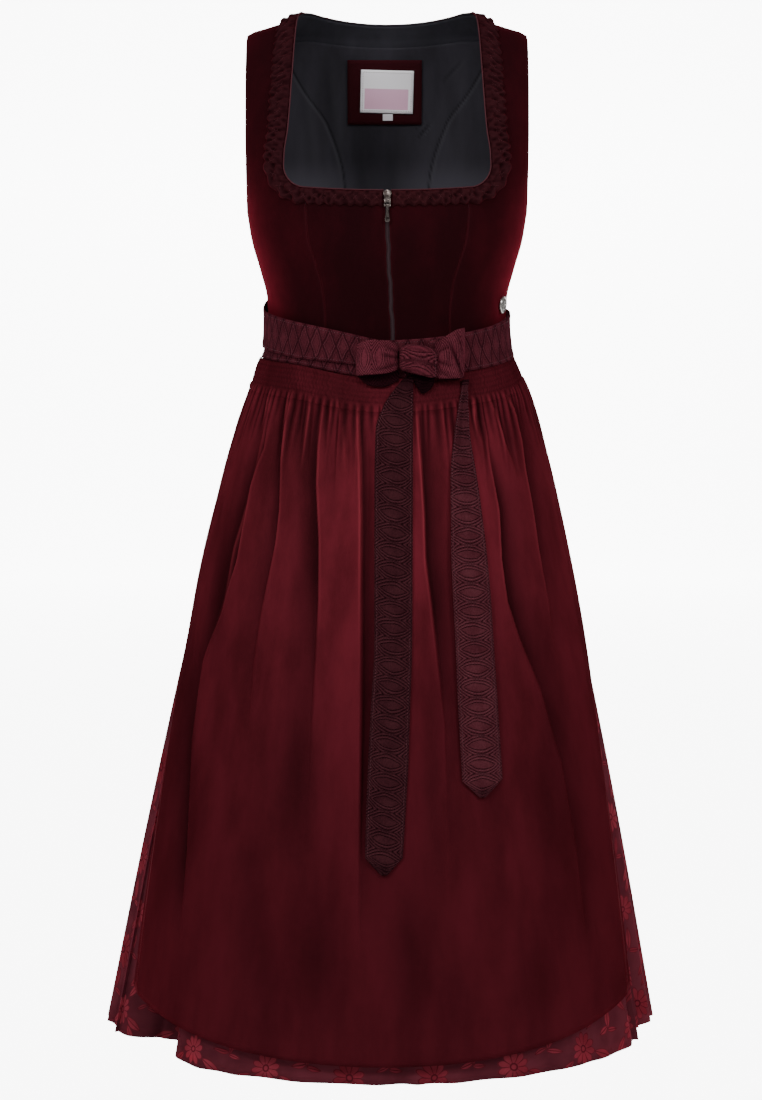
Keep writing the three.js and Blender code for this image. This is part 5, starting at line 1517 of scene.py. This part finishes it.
# %% Loops and knot
BOW_LOOP_RIGHT = table("x out low top", [
    (11.5, 10, -360, -335), (6, 14, -362.5, -332.5), (-5, 17.5, -364.5, -330), (-18, 18, -365.5, -330),
    (-27, 16, -366.5, -333.5), (-30.5, 12, -367, -336), (-28.5, 8, -369, -335), (-18, 6.4, -377, -335),
    (-4, 6, -378.5, -336), (11.5, 6, -372, -341)])
BOW_LOOP_LEFT = table("x out low top", [
    (46, 11, -368.5, -333), (52, 14, -370, -329.5), (60, 16, -370, -323.5), (68, 15, -370, -319.5),
    (75, 11, -370, -318.5), (73.5, 8, -371, -324), (66, 6.8, -372, -331), (57, 6.6, -371, -338),
    (46, 6.6, -368, -344)])
LOOP_CREASES = table("x0 z0 x1 z1 deep wide", [
    (12, -349, -6, -345, 1.6, 1.5), (12, -344, -3, -336, 1.4, 1.4), (11, -355, -12, -361, 1.5, 1.7),
    (59, -333, 74, -371, 2.2, 1.6), (47, -352, 62, -357, 1.6, 1.5), (47, -345, 58, -337, 1.4, 1.5),
    (48, -362, 63, -369, 1.3, 1.4), (66, -322, 73, -346, 1.2, 1.4)])
KNOT = table("x low top near far", [
    (12, -359.5, -341, 6.5, 15), (15, -361.5, -336.5, 6.2, 19.5), (23, -364, -334.5, 6, 22),
    (33, -366.5, -335.5, 6, 22.5), (43, -369, -339, 6.2, 21), (47.8, -368, -344, 6.6, 16.5)])
KNOT_MIDDLE, KNOT_CREASE = 26, 5.6


def at_waist(x, z, out):
    """Points in front of the form, a level distance out."""
    return off_level(front_angle(x, z), z, out)


def loop(node, rows, side):
    """One loop of the bow, from the knot out in front and back to the knot behind."""
    rows = dict(rows, step=np.arange(len(rows["x"]), dtype=float))
    step = np.linspace(0, len(rows["x"]) - 1, 90)
    up = np.linspace(0, 1, 22)[:, None]
    x, out, low, top = curves(rows, "x out low top", step, "step")
    from_knot = np.minimum(step, step[-1] - step) / step[-1] * 2
    in_front = 1 - ramp(step, len(rows["x"]) * 0.45, len(rows["x"]) * 0.6)
    crease = creased(x + 0 * up, mix(low, top, up), LOOP_CREASES) * in_front
    folds = 0.7 * np.sin(up * 11 + step * 0.5) * (1 - ramp(from_knot, 0.05, 0.75))
    bulge = 1.2 * np.sin(np.pi * up) + 0.5 * ripple(step * 0.9, up * 4, 17) + folds - crease
    run = np.stack([np.gradient(x), np.gradient(out)], -1)
    run = run / np.linalg.norm(run, axis=1, keepdims=True)
    outer, inner = [at_waist(x - side * run[:, 1] * inset, mix(low, top, up),
                             out + side * run[:, 0] * inset + bulge) for inset in (0, RIBBON_THICK)]
    # Painted shade in the creases, on the back layer and next to the knot.
    hollow = np.clip(0.4 * crease + 0.85 * (1 - in_front) + 0.5 * np.exp(-from_knot / 0.12), 0, 0.9)
    ribbon_piece(node + "_ribbon", outer, inner, node, BOW, hollow=hollow)


loop("bow_loop_right", BOW_LOOP_RIGHT, 1)
loop("bow_loop_left", BOW_LOOP_LEFT, -1)


def knot_rings():
    """Rings of the knot from its right end to its left one, and their painted shade."""
    x = np.linspace(KNOT["x"][0], KNOT["x"][-1], 40)[:, None]
    turn = np.linspace(0, 2 * np.pi, 57)
    low, top, near, far = curves(KNOT, "low top near far", x, "x")
    up, forward = signed_power(np.sin(turn), 0.7)[None], signed_power(np.cos(turn), 0.7)[None]
    z = mix(low, top, 0.5 + up / 2)
    arch = z + ((x - KNOT_MIDDLE) / 15) ** 2 * 7 + (x - KNOT_MIDDLE) * 0.15
    folds = 0.5 * np.cos(arch * (2 * np.pi / KNOT_CREASE) + 0.8 * ripple(x / 6, arch / 9, 19))
    out = mix(near, far, 0.5 + forward / 2) + 1.1 * folds * np.maximum(0, forward)
    # Painted shade in the folds on the front and over the whole back half.
    hollow = np.clip(np.where(forward > 0, 0.15 - 0.4 * folds, 0.7), 0, 0.8)
    return at_waist(x, z, out)[:, :-1], hollow[:, :-1]


rings, hollow = knot_rings()
knot_uv = np.stack(np.broadcast_arrays(np.linspace(0, 60, rings.shape[1] + 1)[:-1],
                                       np.linspace(-18, 18, len(rings) + 2)[1:-1, None]), -1)
# Its closed ends are in painted shade too.
knot = closed_body("bow_knot_ribbon", rings, rings[[0, -1]].mean(1), knot_uv, BOW,
                   dict(hollow=np.append(hollow, [0.8, 0.8])))
place(knot, "ribbon", "bow_knot")
knot_edge_x, knot_edge_z = 45.2, np.linspace(-345, -367, 12)
knot_edge = at_waist(knot_edge_x, knot_edge_z, 20.4)
toward = form_normal(front_angle(knot_edge_x, knot_edge_z), knot_edge_z, level=True)
place(stitched("bow_knot_edging", knot_edge, toward, EDGE_THREAD, spacing=2.6, length=1.4, width=0.7),
      "ribbon")
print("knot faces:", len(knot.data.polygons))

# %% [markdown]
# ## The tails
# The two tails hang from the bow over the apron, ride on its folds and end in a point. The right tail
# takes a darker copy of the ribbon's finish as painted shade and the left one a lighter copy, and each
# has a line of edge stitches down both sides. The tables hold the two edges and the distance off the
# apron at each height. A short end in painted shade looks out under the knot, and painted shade also
# darkens each tail just under the bow and where it narrows.

# %% Tails
TAIL_RIGHT = table("z x0 x1 off", [
    (-369, 17, 26, 5.5), (-376, 11, 26, 3.5), (-398, -4, 26, 1.2), (-421, -11.5, 25.5, 0.7),
    (-470, -12.5, 25, 0.7), (-550, -12.5, 24.5, 0.7), (-631, -12.5, 24, 0.7), (-700, -16, 22, 0.7),
    (-753, -18.6, 20.4, 0.7), (-800, -20.5, 17.8, 0.7), (-847, -21.6, 15, 0.7), (-864, -6.3, -0.3, 0.7)])
TAIL_BEHIND = table("z x0 x1 off", [
    (-358, 27, 46, 4.8), (-370, 27, 47, 4.8), (-376, 28.5, 46, 4.2), (-381, 31, 43, 3.4),
    (-385, 34, 38, 2.6)])
TAIL_LEFT = table("z x0 x1 off", [
    (-372, 75, 81.5, 3.5), (-384, 74, 80.5, 2.2), (-400, 71, 80.5, 1.2), (-421, 67, 81, 0.7),
    (-473, 62, 88, 0.7), (-539, 62, 96, 0.7), (-585, 63.5, 100, 0.7), (-632, 66, 103, 0.7),
    (-700, 69, 107.5, 0.7), (-773, 73, 112, 0.7), (-790, 89.5, 95.5, 0.7)])


def over_apron(x, z):
    """Height of the apron's crests over the form."""
    top = curve(BAND_FOOT, "z", front_angle(x, z), "angle")
    down = (top - z) / (top - HEM_MIDDLE)
    off, gather, fold = curves(APRON_SHAPE, "off gather fold", down, "down")
    return off + APRON_THICK + gather + fold


def tail(name, rows, finish, seed, shade, *nodes):
    """A hanging ribbon: its last table row is the point, which straight edges lead to."""
    start, body_end, tip = rows["z"][[0, -2, -1]]
    z = np.concatenate([np.linspace(start, body_end, 190), np.linspace(body_end, tip, 9)[1:]])[:, None]
    body = {key: column[:-1] for key, column in rows.items()}
    x0, x1 = [np.where(z >= body_end, curve(body, key, z), np.interp(-z, -rows["z"], rows[key]))
              for key in ("x0", "x1")]
    share = np.linspace(0, 1, 17)[None]
    x = mix(x0, x1, share)
    level = np.broadcast_to(z, x.shape)
    wave = 0.8 * ripple(level / 40, x / 25, seed) + 0.5 * np.sin(np.pi * share)
    narrow = 1 - ramp(np.abs(x1 - x0), 12, 34)
    wave = wave + narrow * 1.2 * np.sin(share * 9)
    off = np.interp(-z, -rows["z"], rows["off"])
    bend = over_apron(x, level) + off + RIBBON_THICK + wave * ramp(start - level, 0, 20)
    outer, inner = at_waist(x, level, bend), at_waist(x, level, bend - RIBBON_THICK)
    _, along = lengths(outer)
    uv = np.stack([along, x - (x0 + x1) / 2], -1)
    # Painted shade: the tail's own amount, more where it narrows, and more just under the bow.
    hollow = np.clip(shade + narrow * 0.35 + 0.5 * np.exp((level - start) / 8), 0, 0.9)
    piece = place(shell(name, outer, inner, uv, [finish], hollow=hollow), "ribbon", *nodes)
    cut(piece, outer, "hung")
    for edge, column in (("a", 1), ("b", -2)) if nodes else ():
        line, away = [grid[6:-9, column] for grid in (outer, unit(outer - inner))]
        edge_stitches(f"{name}_edge_{edge}", line, away, spacing=3.4, length=1.6, width=0.65)


tail("bow_tail_right_ribbon", TAIL_RIGHT, SHADED_TAIL, 51, 0, "bow_tail_right")
tail("bow_tail_left_ribbon", TAIL_LEFT, LIT_TAIL, 53, 0, "bow_tail_left")
tail("bow_end_behind_ribbon", TAIL_BEHIND, SHADED_TAIL, 55, 0.55)
print("tails: 2, and the short end behind the knot")

# %% [markdown]
# ## Light, floor and camera
# A white cove is one plain sheet, floor and back wall in one. Only the part of it that lies behind
# the dress glows, so the front view has a white background and the rest adds hardly any light.
# The lamps are soft disks: the key high on one side in front, a fill on the other, one that looks
# down into the neck, a weak one behind, and a pale world. The camera has a long lens and looks down
# a little from just under shoulder height.

# %% Stage
def cove(low, size, bend=1.2):
    """Floor at a height and a wall behind, in metres, with a bend of that radius between."""
    turn = np.linspace(0, np.pi / 2, 13)
    back = size * 0.6
    run = np.concatenate([[-size], back + bend * np.sin(turn), [back + bend]])[:, None]
    rise = np.concatenate([[low], low + bend - bend * np.cos(turn), [low + size]])[:, None]
    outer = np.stack(np.broadcast_arrays(np.linspace(-size, size, 3), run, rise), -1) / MM
    inner = outer + np.array([0, 20.0, -20.0])
    return shell("stage_cove", outer, inner, np.zeros(outer.shape[:2] + (2,)), [STAGE])


white = Finish("stage_white", roughness=0.9, specular_ior_level=0.1)
side, depth, height = white.parts(white.objects())
beyond = abs(side) - (depth + 3) * 0.14
glow = depth.rise(-0.2, 0.5) * (1 - beyond.rise(0.0, 1.3)) * height.rise(1.5, 0.8)
white.feed("Base Color", white.blend(glow, "#f2f2f2", "#ffffff"))
white.feed("Emission Color", white.blend(glow, "#202020", "#ffffff"))
white.feed("Emission Strength", 8.0)
STAGE = white.material
cove(low=-1.35, size=9)

world = bpy.data.worlds.new("studio")
world.use_nodes = True
background = world.node_tree.nodes["Background"]
background.inputs["Color"].default_value = (1, 1, 1, 1)
background.inputs["Strength"].default_value = 0.22
bpy.context.scene.world = world


def soft_light(name, at, towards, size, power):
    light = bpy.data.lights.new(name, "AREA")
    light.shape, light.size, light.energy = "DISK", size, power
    lamp = linked(name, light)
    lamp.location = at
    lamp.rotation_euler = (Vector(towards) - Vector(at)).to_track_quat("-Z", "Y").to_euler()


WAIST, NECK = (0, 0, -0.4), (0, 0, -0.1)
soft_light("light_key", (-1.6, -2.1, 1.2), WAIST, size=0.8, power=37)
soft_light("light_fill", (1.9, -2.0, 1.0), WAIST, size=1.1, power=30)
soft_light("light_neck", (0.1, -2.2, 1.9), NECK, size=1.0, power=25)
soft_light("light_back", (0.4, 2.2, 1.6), WAIST, size=1.6, power=4)

LOOKS_DOWN = 7.386
camera = linked("camera", bpy.data.cameras.new("camera"))
camera.location = (-0.0064, -3.0, -0.1729)
camera.rotation_euler = (np.radians(90 - LOOKS_DOWN), 0, 0)
camera.data.sensor_width, camera.data.lens, camera.data.clip_end = 36, 92.03, 60
bpy.context.scene.camera = camera
